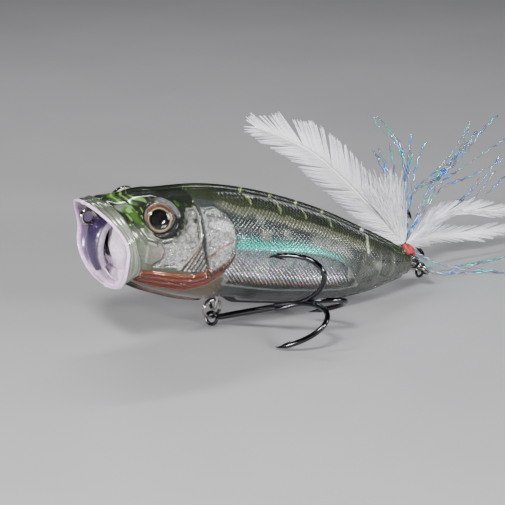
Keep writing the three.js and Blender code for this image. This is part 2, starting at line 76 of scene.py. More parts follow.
BELLY_RING = np.array([-7.4, 0, 3.15])
BELLY_HOOK_EYE = np.array([-7.5, 0.08, 1.37])
RING_RADIUS, RING_WIRE, RING_PITCH, RING_TURNS = 1.6, 0.21, 0.44, 1.85
TAIL_SLOPE = math.radians(38)
TAIL_LINK = np.array([33.45, 0, 4.5])
TAIL_TURN = math.radians(40)  # where the treble hangs, round the tail ring from its lowest point
TAIL_EYE_SLACK = np.array([-0.18, 0.21, 0.02])
TAIL_ALONG = np.array([0.21, 0.93, 0.30])

SCALE_PITCH, SCALE_ROW = 0.78, 0.64

CAMERA_AZIMUTH, CAMERA_ELEVATION = -30.7, 16.7
CAMERA_DISTANCE = 409.0
PIXELS_PER_MM = 5.95
PICTURE_WIDTH = 505
SENSOR_WIDTH = 36
CAMERA_TARGET = np.array([0, 0, 8.0])
CAMERA_NUDGE = (0.36, 3.55)  # right and up, in the picture's plane

JOINTS = {joint["name"]: joint for joint in frame["record"]["behaviour"]["joints"]}
SHIFT = np.array(JOINTS["belly_ring_swing"]["pos_m"]) / MM - BELLY_RING


def unit(v):
    v = np.asarray(v, float)
    return v / np.linalg.norm(v)


EYE_FACING = unit(EYE_FACING)

# ---------------------------------------------------------------- frames and profiles


def body_to_design(points):
    """Body millimetres (nose at station 0) to the resting object's millimetres."""
    points = np.asarray(points, float)
    x = points[..., 0] - BODY_LENGTH / 2
    z = points[..., 2]
    tipped_x = x * math.cos(NOSE_UP) + z * math.sin(NOSE_UP)
    tipped_z = -x * math.sin(NOSE_UP) + z * math.cos(NOSE_UP) + MID_HEIGHT
    return np.stack([tipped_x, points[..., 1], tipped_z], -1)


def to_frame(points):
    """Design millimetres to the frame's metres."""
    return (np.asarray(points, float) + SHIFT) * MM


def slopes(values):
    """Slope of the profile at each station, from its neighbours."""
    last = len(STATIONS) - 1
    low = np.maximum(np.arange(last + 1) - 1, 0)
    high = np.minimum(np.arange(last + 1) + 1, last)
    return (values[high] - values[low]) / (STATIONS[high] - STATIONS[low])


def profile(values, station):
    """The smooth curve through the body's stations."""
    station = np.clip(station, 0, BODY_LENGTH)
    i = np.clip(np.searchsorted(STATIONS, station, side="right") - 1, 0, len(STATIONS) - 2)
    span = STATIONS[i + 1] - STATIONS[i]
    t = (station - STATIONS[i]) / span
    tangent = slopes(values)
    start = (2 * t**3 - 3 * t**2 + 1) * values[i] + (t**3 - 2 * t**2 + t) * span * tangent[i]
    end = (3 * t**2 - 2 * t**3) * values[i + 1] + (t**3 - t**2) * span * tangent[i + 1]
    return start + end


def body_point(station, angle, inset=0.0, scale=1.0):
    """Points of the body's surface, moved in by inset and scaled about each section's middle."""
    station, angle, scale = np.broadcast_arrays(station, angle, scale)
    top = profile(TOP, station) - inset
    bottom = profile(BOTTOM, station) + inset
    half_width = profile(HALF_WIDTH, station) - inset
    c, s = np.cos(angle), np.sin(angle)
    power = 2 / SECTION_POWER
    y = half_width * np.sign(c) * np.abs(c) ** power * scale
    z = (top - bottom) / 2 * np.sign(s) * np.abs(s) ** power * scale + (top + bottom) / 2
    fade = np.maximum(0, 1 - np.maximum(station, 0) / LIP_FADE) ** 2
    setback = RIM_SIDE + (np.where(s > 0, RIM_TOP, RIM_BOTTOM) - RIM_SIDE) * np.abs(s) ** 1.6
    return np.stack([station + setback * fade, y, z], -1)


def flank_point(station, height, inset, side):
    """Points of one flank at a station and a height, moved in by inset."""
    top = profile(TOP, station) - inset
    bottom = profile(BOTTOM, station) + inset
    rise = np.abs((height - (top + bottom) / 2) / ((top - bottom) / 2))
    share = (1 - np.minimum(rise, 0.98) ** SECTION_POWER) ** (1 / SECTION_POWER)
    y = (profile(HALF_WIDTH, station) - inset) * share
    return np.stack([station + 0 * y, -y * side, height + 0 * y], -1)


def smooth_step(low, high, value):
    """0 below low and 1 above high, with a smooth rise between them."""
    t = np.clip((value - low) / (high - low), 0, 1)
    return t * t * (3 - 2 * t)


def line_distance(s, z, line):
    """Distance from flank points (s, z) to a polyline."""
    best = np.full(np.shape(s), 1e9)
    for (s0, z0), (s1, z1) in zip(line[:-1], line[1:]):
        ds, dz = s1 - s0, z1 - z0
        t = np.clip(((s - s0) * ds + (z - z0) * dz) / (ds * ds + dz * dz), 0, 1)
        best = np.minimum(best, np.hypot(s - s0 - t * ds, z - z0 - t * dz))
    return best


def groove(s, z, line, width, power=2):
    """1 on a line over the flank, falling to 0 within about width mm of it."""
    return np.exp(-((line_distance(s, z, line) / width) ** power))


def inside(s, z, outline):
    """Signed distance to a closed outline on the flank, positive inside it."""
    closed = list(outline) + [outline[0]]
    crossings = np.zeros(np.shape(s), int)
    for (s0, z0), (s1, z1) in zip(closed[:-1], closed[1:]):
        if z0 == z1:
            continue
        between = (z0 > z) != (z1 > z)
        crossings += between & (s < (s1 - s0) * (z - z0) / (z1 - z0) + s0)
    return np.where(crossings % 2 == 1, 1, -1) * line_distance(s, z, closed)


def value_noise(s, z, scale, seed):
    """Smooth random values from -1 to 1 over the flank, with features about scale mm wide."""
    table = np.random.default_rng(seed).uniform(-1, 1, (64, 64))
    u, v = s / scale + 100, z / scale + 100
    i, j = np.floor(u).astype(int), np.floor(v).astype(int)
    fu, fv = u - i, v - j
    fu, fv = fu * fu * (3 - 2 * fu), fv * fv * (3 - 2 * fv)

    def corner(a, b):
        return table[(i + a) % 64, (j + b) % 64]

    low = corner(0, 0) * (1 - fu) + corner(1, 0) * fu
    high = corner(0, 1) * (1 - fu) + corner(1, 1) * fu
    return low * (1 - fv) + high * fv


# ---------------------------------------------------------------- node and mesh helpers


class Material:
    """A new material whose Principled shader is set by keyword, with short calls for its nodes."""

    def __init__(self, name, **sockets):
        self.data = bpy.data.materials.new(name)
        self.data.use_nodes = True
        self.tree = self.data.node_tree
        self.shader = self.tree.nodes["Principled BSDF"]
        for socket, value in sockets.items():
            self.shader.inputs[socket.replace("_", " ")].default_value = value

    def node(self, kind, inputs=None, **settings):
        made = self.tree.nodes.new("ShaderNode" + kind)
        for key, value in settings.items():
            setattr(made, key, value)
        for key, value in (inputs or {}).items():
            self.feed(made.inputs[key], value)
        return made

    def feed(self, socket, value):
        if isinstance(value, bpy.types.NodeSocket):
            self.tree.links.new(value, socket)
        else:
            socket.default_value = value

    def set(self, socket, value):
        self.feed(self.shader.inputs[socket], value)

    def attribute(self, name, output="Fac"):
        return self.node("Attribute", attribute_name=name).outputs[output]

    def math(self, operation, a, b=0.5, clamp=False):
        made = self.node("Math", {0: a, 1: b}, operation=operation, use_clamp=clamp)
        return made.outputs[0]

    def mix(self, factor, a, b, blend="MIX"):
        made = self.node("Mix", data_type="RGBA", blend_type=blend)
        self.feed(made.inputs["Factor"], factor)
        self.feed(made.inputs[6], a)
        self.feed(made.inputs[7], b)
        return made.outputs[2]

    def ramp(self, factor, stops):
        made = self.node("ValToRGB", {"Fac": factor})
        elements = made.color_ramp.elements
        while len(elements) < len(stops):
            elements.new(0.5)
        for element, (place, colour) in zip(elements, stops):
            element.position = place
            element.color = colour if len(colour) == 4 else (*colour, 1)
        return made.outputs["Color"]

    def coordinates(self, scale=(1, 1, 1), source="Object", turn=(0, 0, 0)):
        place = self.node("TexCoord").outputs[source]
        made = self.node("Mapping", {"Vector": place, "Scale": scale, "Rotation": turn})
        return made.outputs[0]

    def noise(self, vector, scale, detail=4.0, roughness=0.5):
        inputs = {"Vector": vector, "Scale": scale, "Detail": detail, "Roughness": roughness}
        return self.node("TexNoise", inputs).outputs["Fac"]

    def bump(self, height, strength, distance, normal=None):
        made = self.node("Bump", {"Height": height, "Strength": strength, "Distance": distance})
        if normal is not None:
            self.feed(made.inputs["Normal"], normal)
        return made.outputs[0]


ATTRIBUTE_KINDS = {1: ("FLOAT", "value"), 3: ("FLOAT_VECTOR", "vector"), 4: ("FLOAT_COLOR", "color")}


def mesh_piece(name, points, faces, material, body, nodes=(), slot=None, attributes=None):
    """A mesh from design millimetres that rides on a body and stands for some CAD nodes."""
    mesh = bpy.data.meshes.new(name)
    mesh.from_pydata([tuple(p) for p in to_frame(points)], [], faces)
    mesh.update()
    for key, values in (attributes or {}).items():
        width = 1 if np.ndim(values) == 1 else np.shape(values)[1]
        kind, field = ATTRIBUTE_KINDS[width]
        layer = mesh.attributes.new(key, kind, "POINT")
        layer.data.foreach_set(field, np.asarray(values, np.float32).ravel())
    mesh.polygons.foreach_set("use_smooth", [True] * len(mesh.polygons))
    materials = material if isinstance(material, list) else [material]
    for item in materials:
        mesh.materials.append(item.data)
    piece = bpy.data.objects.new(name, mesh)
    bpy.context.scene.collection.objects.link(piece)
    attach(piece, body)
    if nodes:
        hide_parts(*nodes)
    return piece


def grid_faces(rows, columns, wrap=False, flip=False):
    """Quads over points laid out in rows."""
    faces = []
    for i in range(rows - 1):
        for j in range(columns if wrap else columns - 1):
            k = (j + 1) % columns
            a, b = i * columns + j, i * columns + k
            c, d = b + columns, a + columns
            faces.append((a, d, c, b) if flip else (a, b, c, d))
    return faces


class Soup:
    """Several closed solids gathered into one mesh, with a shade value from 0 to 1 at each point."""

    def __init__(self):
        self.points, self.faces, self.shades, self.count = [], [], [], 0

    def add(self, points, faces, shade=None):
        points = np.asarray(points, float)
        self.points.append(points)
        self.faces.extend(tuple(i + self.count for i in face) for face in faces)
        self.shades.append(np.broadcast_to(0.0 if shade is None else shade, len(points)))
        self.count += len(points)

    def piece(self, name, material, body, **more):
        attributes = {"shade": np.concatenate(self.shades)}
        attributes.update(more.pop("attributes", {}))
        return mesh_piece(
            name, np.concatenate(self.points), self.faces, material, body, attributes=attributes, **more
        )


def sample(points, count):
    """A smooth centripetal curve through points, resampled evenly by length."""
    points = np.asarray(points, float)
    if len(points) == 2:
        return points[0] + (points[1] - points[0]) * np.linspace(0, 1, count)[:, None]
    padded = np.vstack([2 * points[0] - points[1], points, 2 * points[-1] - points[-2]])
    dense = []
    for i in range(1, len(padded) - 2):
        p = padded[i - 1 : i + 3]
        knots = np.concatenate([[0], np.cumsum(np.sqrt(np.linalg.norm(np.diff(p, axis=0), axis=1)))])
        t = np.linspace(knots[1], knots[2], 24, endpoint=i == len(padded) - 3)[:, None]

        def blend(a, b, ka, kb):
            return a * (kb - t) / (kb - ka) + b * (t - ka) / (kb - ka)

        a1 = blend(p[0], p[1], knots[0], knots[1])
        a2 = blend(p[1], p[2], knots[1], knots[2])
        a3 = blend(p[2], p[3], knots[2], knots[3])
        b1 = blend(a1, a2, knots[0], knots[2])
        b2 = blend(a2, a3, knots[1], knots[3])
        dense.append(blend(b1, b2, knots[1], knots[2]))
    dense = np.vstack(dense)
    length = np.concatenate([[0], np.cumsum(np.linalg.norm(np.diff(dense, axis=0), axis=1))])
    even = np.linspace(0, length[-1], count)
    return np.stack([np.interp(even, length, dense[:, k]) for k in range(3)], -1)


def sweep(path, sides, width, thickness=None, wide_axis=None, twist=0.0):
    """Closed tube along a path: half axes per point, round unless thickness is given."""
    path = np.asarray(path, float)
    count = len(path)
    width = np.broadcast_to(width, count)
    thickness = width if thickness is None else np.broadcast_to(thickness, count)
    tangents = np.gradient(path, axis=0)
    tangents /= np.linalg.norm(tangents, axis=1, keepdims=True)
    if wide_axis is None:
        helper = [0, 0, 1] if abs(tangents[0][2]) < 0.9 else [1, 0, 0]
        wide_axis = np.cross(helper, tangents[0])
    across = np.asarray(wide_axis, float)
    angles = np.arange(sides) / sides * 2 * math.pi
    rings = []
    for i in range(count):
        across = unit(across - across.dot(tangents[i]) * tangents[i])
        other = np.cross(tangents[i], across)
        spin = twist * i / max(count - 1, 1)
        wide = math.cos(spin) * across + math.sin(spin) * other
        thin = np.cross(tangents[i], wide)
        ring = np.outer(np.cos(angles) * width[i], wide) + np.outer(np.sin(angles) * thickness[i], thin)
        rings.append(path[i] + ring)
    points = np.vstack([*rings, path[:1], path[-1:]])
    faces = grid_faces(count, sides, wrap=True, flip=True)
    first, last = count * sides, count * sides + 1
    for j in range(sides):
        k = (j + 1) % sides
        faces.append((first, k, j)[::-1])
        faces.append((last, last - 2 - sides + 1 + j, last - 2 - sides + 1 + k)[::-1])
    return points, faces


def turned(profile_points, axis_start, axis, segments=48):
    """Closed solid of revolution: profile (radius, distance) pairs from axis to axis."""
    axis = unit(axis)
    helper = np.array([0, 0, 1.0]) if abs(axis[2]) < 0.9 else np.array([1.0, 0, 0])
    u = unit(np.cross(helper, axis))
    v = np.cross(axis, u)
    angles = np.arange(segments) / segments * 2 * math.pi
    ring = np.outer(np.cos(angles), u) + np.outer(np.sin(angles), v)
    rows = profile_points[1:-1]
    points = [axis_start + axis * d + r * ring for r, d in rows]
    points.append((axis_start + axis * profile_points[0][1])[None])
    points.append((axis_start + axis * profile_points[-1][1])[None])
    faces = grid_faces(len(rows), segments, wrap=True, flip=False)
    first = len(rows) * segments
    base = (len(rows) - 1) * segments
    for j in range(segments):
        k = (j + 1) % segments
        faces.append((first, k, j))
        faces.append((first + 1, base + j, base + k))
    return np.vstack(points), faces


# ---------------------------------------------------------------- body skin

GILL_GROOVE = [(16.7, 9.2), (17.1, 7.8), (17.6, 5.1), (18.3, 2.1), (19.5, -0.9), (20.0, -2.0)]
GILL_COVER = [
    (17.5, 8.4), (20.0, 8.8), (22.0, 7.9), (23.2, 6.4), (23.9, 4.1), (23.8, 1.5), (22.6, -0.6), (20.6, -1.6),
    (19.7, -0.8), (18.6, 2.1), (18.0, 5.1),
]
CHEEK = [
    (8.2, 3.2), (10.2, 3.0), (13.0, 3.7), (14.0, 5.4), (14.9, 8.2), (16.5, 8.4), (16.8, 5.7), (16.9, 3.9),
    (16.2, 2.2), (15.3, 0.7), (14.1, -1.1), (10.6, -1.4), (9.0, -1.2), (10.6, 0.3), (10.6, 1.7), (9.9, 2.6),
]
FAN = [(17.0, 3.6), (18.4, 0.8), (19.4, -1.4), (15.4, -1.7), (14.4, -1.3), (15.7, 0.7), (16.6, 2.2)]
PREOPERCLE = [(16.6, 8.4), (16.7, 7.4), (17.0, 5.7), (17.1, 3.9), (16.5, 2.2), (15.5, 0.7), (14.2, -1.3)]
MAXILLA = [(6.2, 2.8), (8.5, 2.5), (9.8, 2.5), (10.6, 1.6), (10.3, 0.1), (8.2, -1.1), (6.5, -0.8), (6.2, 1.0)]
MAXILLA_ARM = [(3.6, 5.0), (4.8, 3.7), (6.2, 2.7), (8.5, 2.4)]
SOCKET = [
    (7.8, 3.9), (8.6, 3.4), (10.2, 3.2), (13.0, 3.9), (13.9, 5.5), (14.6, 7.9), (12.6, 8.5), (9.8, 8.8),
    (7.6, 8.0), (6.7, 6.2),
]
BROW = [(3.2, 7.2), (5.2, 8.0), (7.2, 8.6), (9.8, 9.1), (11.5, 8.9), (12.6, 8.4), (13.4, 7.4)]
COVER_CREASE = [(18.6, 0.4), (20.6, 2.6), (23.2, 3.9)]
BAND_TOP = ([4.6, 6.2, 9.5, 14.0, 17.2, 20.0, 22.4, 24.0], [-3.3, -2.4, -2.0, -2.2, -2.1, -1.1, 0.8, 2.0])
BAND_LOW = ([4.6, 7.5, 11.8, 16.5, 19.5, 21.5, 23.0, 24.2], [-3.9, -4.6, -5.4, -5.6, -4.5, -2.8, -0.6, 1.4])
LIP_EDGE = (
    [-7, -4.5, -3.6, -2.3, 0, 1.6, 4.2, 6.2, 7.1, 8.5],
    [3.6, 4.4, 5.0, 6.0, 4.6, 3.0, 2.4, 2.5, 2.5, 2.0],
)
OLIVE_EDGE = (
    [0, 8, 14, 20.8, 29.5, 37.2, 45.0, 51.0, 60.0, 65.0],
    [5.6, 8.2, 9.2, 9.3, 8.3, 7.1, 5.4, 3.9, 1.9, 0.9],
)
TEAL_TOP = ([22, 30.2, 37.8, 43.5, 50], [4.9, 4.4, 3.9, 3.2, 1.8])
FOIL_TOP = ([22, 30.5, 38, 42.5, 46, 48.8, 51.4], [2.6, 2.7, 2.6, 2.2, 1.4, -0.2, -2.9])
FOIL_LOW = ([22, 33, 40, 48, 51.4], [-3.6, -4.3, -4.2, -4.0, -3.3])
BAND_RIBS = 4.5
BOSS_WINDOWS = ((28.8, 7.4, 0.8), (29.8, 5.0, 0.95), (34.2, 5.4, 0.75), (47.5, 1.2, 0.5), (55.8, 0.3, 0.75))
BAR_STATIONS = (27.8, 33.9, 39.7, 45.8)
LAST_BAR = 53.0
CHAMBER_WALLS = (
    ((48.8, 2.7), (52.8, 2.7)),
    ((52.8, 2.7), (53.8, -1.9)),
    ((53.8, -1.9), (49.8, -1.9)),
    ((49.8, -1.9), (48.8, 2.7)),
)


def band_share(s, z):
    """0 at the lower edge of the gill rays' band and 1 at its upper edge."""
    top, low = np.interp(s, *BAND_TOP), np.interp(s, *BAND_LOW)
    return (z - low) / (top - low)


def eye_distance(points):
    """Distance of body points (y folded to the left side) from the eye's axis, and along it."""
    away = points - EYE_CENTRE
    along = away @ EYE_FACING
    return np.linalg.norm(away - along[..., None] * EYE_FACING, axis=-1), along


def fan_rays(s, z):
    """Rays of the fan behind the cheek, from -1 in a groove to 1 on a ray."""
    return np.cos((s * 1.1 - z * 0.45) * 7.5)


def relief(s, z, r_eye):
    """How far the moulded head stands out of the plain body, mm."""
    cover = smooth_step(0.0, 0.45, inside(s, z, GILL_COVER))
    cheek = smooth_step(0.0, 0.6, inside(s, z, CHEEK))
    flap = smooth_step(0.0, 0.4, inside(s, z, MAXILLA))
    arm = groove(s, z, MAXILLA_ARM, 0.4)
    rise = 0.42 * cover + 0.22 * cheek + 0.45 * np.maximum(flap, arm)
    rise += 0.34 * groove(s, z, PREOPERCLE, 0.3)
    rise -= 0.55 * groove(s, z, GILL_GROOVE, 0.26)
    rise -= 0.2 * groove(s, z, COVER_CREASE, 0.2)
    share = band_share(s, z)
    band = smooth_step(0, 0.1, share) * smooth_step(1, 0.9, share) * smooth_step(24.0, 22.5, s)
    band *= smooth_step(4.4, 6.5, s)
    rise += band * (0.3 + 0.18 * np.cos(share * BAND_RIBS * 2 * math.pi))
    fan = smooth_step(0.0, 0.4, inside(s, z, FAN))
    rise += 0.1 * fan * fan_rays(s, z)
    fold = s / np.interp(z, *LIP_EDGE)
    lip = smooth_step(1.15, 0.85, fold) * smooth_step(8.2, 6.8, z)
    ripple = np.cos(fold * 3 * 2 * math.pi + 0.8 * value_noise(s, z, 1.6, 1))
    rise += lip * (0.1 * ripple + 0.3 * np.exp(-(((fold - 0.92) / 0.16) ** 2)))
    rise += 0.24 * groove(s, z, BROW, 0.38) * smooth_step(6.2, 8.4, s)
    rise -= 0.35 * smooth_step(0.0, 0.7, inside(s, z, SOCKET)) * smooth_step(2.3, 3.4, r_eye)
    snout = smooth_step(13, 9, s) * smooth_step(4.5, 6.5, z) * (1 - lip)
    rise += 0.11 * snout * smooth_step(8.6, 7.6, z) * value_noise(s, z, 0.85, 3)
    return rise


def paint_skin(s, z, r_eye, y):
    """Colour with cover, and masks, for the outer skin at flank places (s, z)."""
    shape = np.shape(s)
    colour = np.zeros(shape + (3,)) + np.array([0.035, 0.042, 0.042])
    cover = np.full(shape, 0.80)
    shine = np.full(shape, 0.25)

    def lay(mask, tint, opacity=None, metal=None):
        nonlocal colour, cover, shine
        mask = np.clip(mask, 0, 1)
        colour = colour * (1 - mask[..., None]) + np.asarray(tint) * mask[..., None]
        if opacity is not None:
            cover = cover * (1 - mask) + opacity * mask
        if metal is not None:
            shine = shine * (1 - mask) + metal * mask

    mottle = value_noise(s, z, 1.6, 1)
    fine = value_noise(s, z, 0.5, 2)
    trunk = smooth_step(20, 24, s)
    lay(smooth_step(50, 55, s), (0.050, 0.054, 0.044), 0.52, 0.1)
    lay(smooth_step(60, 64, s), (0.050, 0.056, 0.042), 0.74, 0.1)
    # Near-black, almost opaque paint over the lower flank and belly: painted shade on the underside.
    lay(smooth_step(-3.4, -4.6, z) * trunk * smooth_step(58, 50, s), (0.010, 0.012, 0.012), 0.93, 0.3)
    teal_top, foil_top = np.interp(s, *TEAL_TOP), np.interp(s, *FOIL_TOP)
    teal = smooth_step(teal_top + 1.0, foil_top + 0.1, z)
    teal = teal * smooth_step(foil_top - 0.5, foil_top - 0.1, z)
    teal *= trunk * smooth_step(50, 40, s)
    lay(teal, (0.006, 0.36, 0.31), 0.92, 0.55)
    lay(teal * smooth_step(foil_top + 0.9, foil_top + 0.1, z) * 0.6, (0.10, 0.72, 0.64), 0.92, 0.6)
    film = smooth_step(foil_top + 0.1, foil_top - 0.2, z)
    film = film * smooth_step(-0.3, 0.3, z - np.interp(s, *FOIL_LOW))
    lay(film * trunk * smooth_step(52.0, 51.4, s), (0.5, 0.55, 0.55), 0.05)
    for place, height, reach in BOSS_WINDOWS:
        lay(smooth_step(reach + 0.15, reach - 0.15, np.hypot(s - place, z - height)), (0.3, 0.32, 0.3), 0.35)
    edge = np.interp(s, *OLIVE_EDGE) + 0.3 * mottle
    glints = np.exp(-(((z - edge) / 0.6) ** 2)) * trunk * smooth_step(56, 50, s)
    lay(glints * 0.9, (0.46, 0.48, 0.34), 0.97, 0.9)
    # A pale metallic band below the back's edge toward the tail: painted scale glints, a painted highlight.
    pale = np.exp(-(((z - edge + 2.0) / 0.9) ** 2)) * smooth_step(38, 42, s) * smooth_step(50, 46, s)
    lay(pale * 0.8, (0.50, 0.54, 0.50), 0.92, 0.8)
    back = smooth_step(edge, edge + 0.8, z)
    lay(back, np.array([0.040, 0.055, 0.018]), 1.0, 0.55)
    lay(back * smooth_step(edge + 0.8, edge + 2.0, z), (0.010, 0.014, 0.007), 1.0, 0.4)
    lay(back * smooth_step(0.1, 0.6, mottle) * 0.85, (0.008, 0.011, 0.006), 1.0, 0.3)
    for station in BAR_STATIONS:
        place = station + 0.18 * fine + 0.35 * (z - 9.5)
        bar = np.exp(-(((s - place) / 0.2) ** 2)) * smooth_step(edge + 0.6, edge + 1.2, z)
        lay(bar * (0.8 + 0.2 * fine), (0.50, 0.66, 0.24), 1.0, 0.6)
    place = LAST_BAR + np.maximum(0, z - 4.2) + 0.2 * fine
    last_bar = np.exp(-(((s - place) / 0.32) ** 4)) * smooth_step(2.0, 2.8, z)
    lay(last_bar * 0.95, (0.72, 0.80, 0.62), 1.0, 0.3)
    head = smooth_step(17.4, 16.4, s + 0.3 * mottle)
    lay(head * smooth_step(-3.0, -1.5, z), (0.10, 0.11, 0.08), 1.0, 0.45)
    snout = head * smooth_step(3.5, 6.0, z + 0.5 * mottle)
    lay(snout, (0.010, 0.016, 0.006), 1.0, 0.15)
    lay(snout * smooth_step(0.2, 0.5, value_noise(s, z, 0.8, 5)), (0.05, 0.13, 0.012), 1.0, 0.35)
    lay(snout * smooth_step(0.4, 0.6, value_noise(s, z, 0.5, 8)), (0.26, 0.50, 0.12), 1.0, 0.5)
    lay(head * smooth_step(8.4, 9.2, z), (0.008, 0.012, 0.006), 1.0, 0.4)
    fold = s / np.interp(z, *LIP_EDGE)
    jaw = head * smooth_step(1.0, 1.2, fold) * smooth_step(5.0, 3.5, z) * smooth_step(-2.6, -1.8, z)
    lay(jaw * smooth_step(9.5, 7.5, s), (0.17, 0.195, 0.14), 1.0, 0.5)
    cheek = smooth_step(-0.1, 0.3, inside(s, z, CHEEK))
    cover_plate = smooth_step(-0.1, 0.25, inside(s, z, GILL_COVER))
    fan = smooth_step(-0.1, 0.2, inside(s, z, FAN))
    silver = np.maximum(cheek, cover_plate)
    lay(silver, (0.95, 0.96, 0.93), 1.0, 0.62)
    rim_of_cheek = cheek * smooth_step(0.9, 0.0, inside(s, z, CHEEK))
    lay(rim_of_cheek * smooth_step(-0.4, 0.5, mottle), (0.30, 0.31, 0.26), 1.0, 0.8)
    lay(cover_plate * smooth_step(6.2, 8.0, z) * 0.7, (0.42, 0.50, 0.42), 1.0, 0.9)
    lay(cover_plate * smooth_step(21.5, 23.4, s) * smooth_step(4, 2, z) * 0.7, (0.35, 0.55, 0.50), 1.0, 0.8)
    spots = smooth_step(0.2, 0.7, value_noise(s, z, 0.8, 11))
    lay(cheek * spots * smooth_step(2.0, 5.0, z), (0.06, 0.07, 0.05), 1.0, 0.6)
    lay(fan, (0.10, 0.075, 0.06), 1.0, 0.5)
    lay(fan * smooth_step(0.2, 0.8, fan_rays(s, z)), (0.85, 0.84, 0.82), 1.0, 0.8)
    border = np.minimum(np.abs(inside(s, z, CHEEK)), np.abs(inside(s, z, GILL_COVER)))
    foil = np.maximum(silver * (0.7 + 0.3 * smooth_step(1.5, 0.2, border)), fan * 0.5)
    lay(groove(s, z, COVER_CREASE, 0.2) * 0.9, (0.30, 0.09, 0.05), 1.0, 0.3)
    ridge = groove(s, z, PREOPERCLE, 0.28)
    lay(ridge * 0.9, (0.62, 0.60, 0.54), 1.0, 0.6)
    blush = groove(s, z, PREOPERCLE, 0.9) * smooth_step(15.2, 16.5, s) * smooth_step(3.5, 1.5, z)
    lay(blush * 0.5, (0.30, 0.14, 0.10), 1.0, 0.4)
    lay(groove(s, z, GILL_GROOVE, 0.22, 4), (0.004, 0.004, 0.004), 1.0, 0)
    rim = np.exp(-(((inside(s, z, GILL_COVER) + 0.1) / 0.16) ** 2)) * smooth_step(18.5, 20, s)
    lay(rim * 0.75, (0.02, 0.03, 0.025), 1.0, 0.3)
    flap = smooth_step(-0.05, 0.2, inside(s, z, MAXILLA))
    lay(flap, (0.13, 0.125, 0.10), 1.0, 0.15)
    lay(flap * smooth_step(0.6, 0.1, inside(s, z, MAXILLA)) * 0.35, (0.50, 0.44, 0.42), 1.0, 0.2)
    lay(flap * smooth_step(9.6, 10.5, s) * 0.8, (0.62, 0.36, 0.46), 1.0, 0.2)
    arm_edge = np.exp(-(((line_distance(s, z, MAXILLA_ARM) - 0.3) / 0.2) ** 2))
    lay(arm_edge * head * 0.6, (0.05, 0.055, 0.045), 1.0, 0.2)
    throat = smooth_step(-1.6, -2.6, z) * smooth_step(24, 22.5, s)
    lay(throat, (0.07, 0.052, 0.026), 0.97, 0.1)
    lay(throat * smooth_step(-5.9, -6.8, z), (0.18, 0.13, 0.11), 0.95, 0.1)
    share = band_share(s, z)
    band = smooth_step(-0.03, 0.04, share) * smooth_step(1.03, 0.95, share) * smooth_step(24.4, 23.6, s)
    band *= smooth_step(4.4, 5.6, s)
    lay(band, (0.125, 0.017, 0.003), 1.0, 0.3)
    stripe = 0.5 - 0.5 * np.cos(share * BAND_RIBS * 2 * math.pi)
    lay(band * smooth_step(0.25, 0.75, stripe) * smooth_step(1.1, 0.5, share), (0.06, 0.004, 0.002), 1.0, 0.0)
    lay(band * smooth_step(0.8, 1.0, share) * 0.6, (0.16, 0.06, 0.022), 1.0, 0.4)
    # Near-black paint over the eye socket and round the eye, with a ragged edge: a painted shadow in the
    # recessed socket.
    ragged = 0.25 * value_noise(s, z, 0.35, 14)
    dark = np.maximum(smooth_step(-0.35, 0.25, inside(s, z, SOCKET) + ragged), smooth_step(3.0, 2.7, r_eye))
    lay(dark, (0.006, 0.006, 0.005), 1.0, 0.2)
    lay(groove(s, z, BROW, 0.26) * smooth_step(3.2, 4.4, y) * 0.8, (0.62, 0.64, 0.64), 1.0, 1.0)
    lip = smooth_step(1.12, 0.98, fold) * smooth_step(8.4, 7.6, z)
    lay(lip, (0.32, 0.35, 0.29), 1.0, 0.35)
    streak = smooth_step(0.1, 0.9, np.cos(fold * 3 * 2 * math.pi + 2.6 + 0.8 * mottle))
    lay(lip * streak * 0.5, (0.09, 0.10, 0.07), 1.0, 0.2)
    lay(lip * smooth_step(5.2, 7.0, z) * 0.85, (0.07, 0.09, 0.05), 1.0, 0.3)
    lay(smooth_step(0.3, 0.0, s), (0.80, 0.50, 0.82), 1.0, 0.1)
    scales = trunk * (1 - cover_plate) * smooth_step(-7.4, -6.4, z)
    scales = scales * (1 - 0.75 * film) * smooth_step(64, 60, s)
    return np.concatenate([colour, cover[..., None]], -1), shine, foil, scales


def paint_cup(depth, angle, radial, side):
    """Pearl lining of the mouth: pink at the rim, bright within, violet on the walls, grey roof; the far half
    is painted darker violet than the near half, as painted shade.
    """
    white = np.array([0.90, 0.80, 0.90])
    pink = np.array([0.80, 0.48, 0.80])
    violet = np.array([0.075, 0.035, 0.13])
    roof = np.array([0.10, 0.11, 0.08])
    up = np.sin(angle)
    deep = smooth_step(0.04, 0.3, depth)
    wall = smooth_step(0.75, 1.0, radial)
    colour = white + (pink - white) * (0.3 * smooth_step(0.2, 1.0, radial))[..., None]
    # The far half of the cup is painted darker violet than the near half: the violet is the pearl lining's
    # own colour, the difference between the halves is painted shade.
    shade = wall * deep * (0.95 if side < 0 else 0.7) * smooth_step(0.95, 0.5, np.abs(up))
    if side < 0:
        far_side_shade = 0.9 * smooth_step(0.15, 0.5, radial) * smooth_step(0.95, 0.6, np.abs(up))
        shade = np.maximum(shade, far_side_shade)
    colour = colour + (violet - colour) * shade[..., None]
    colour = colour + (pink - colour) * smooth_step(0.2, 0.0, depth)[..., None]
    colour = colour + (roof - colour) * (smooth_step(0.2, 0.7, up) * deep * wall)[..., None]
    return colour


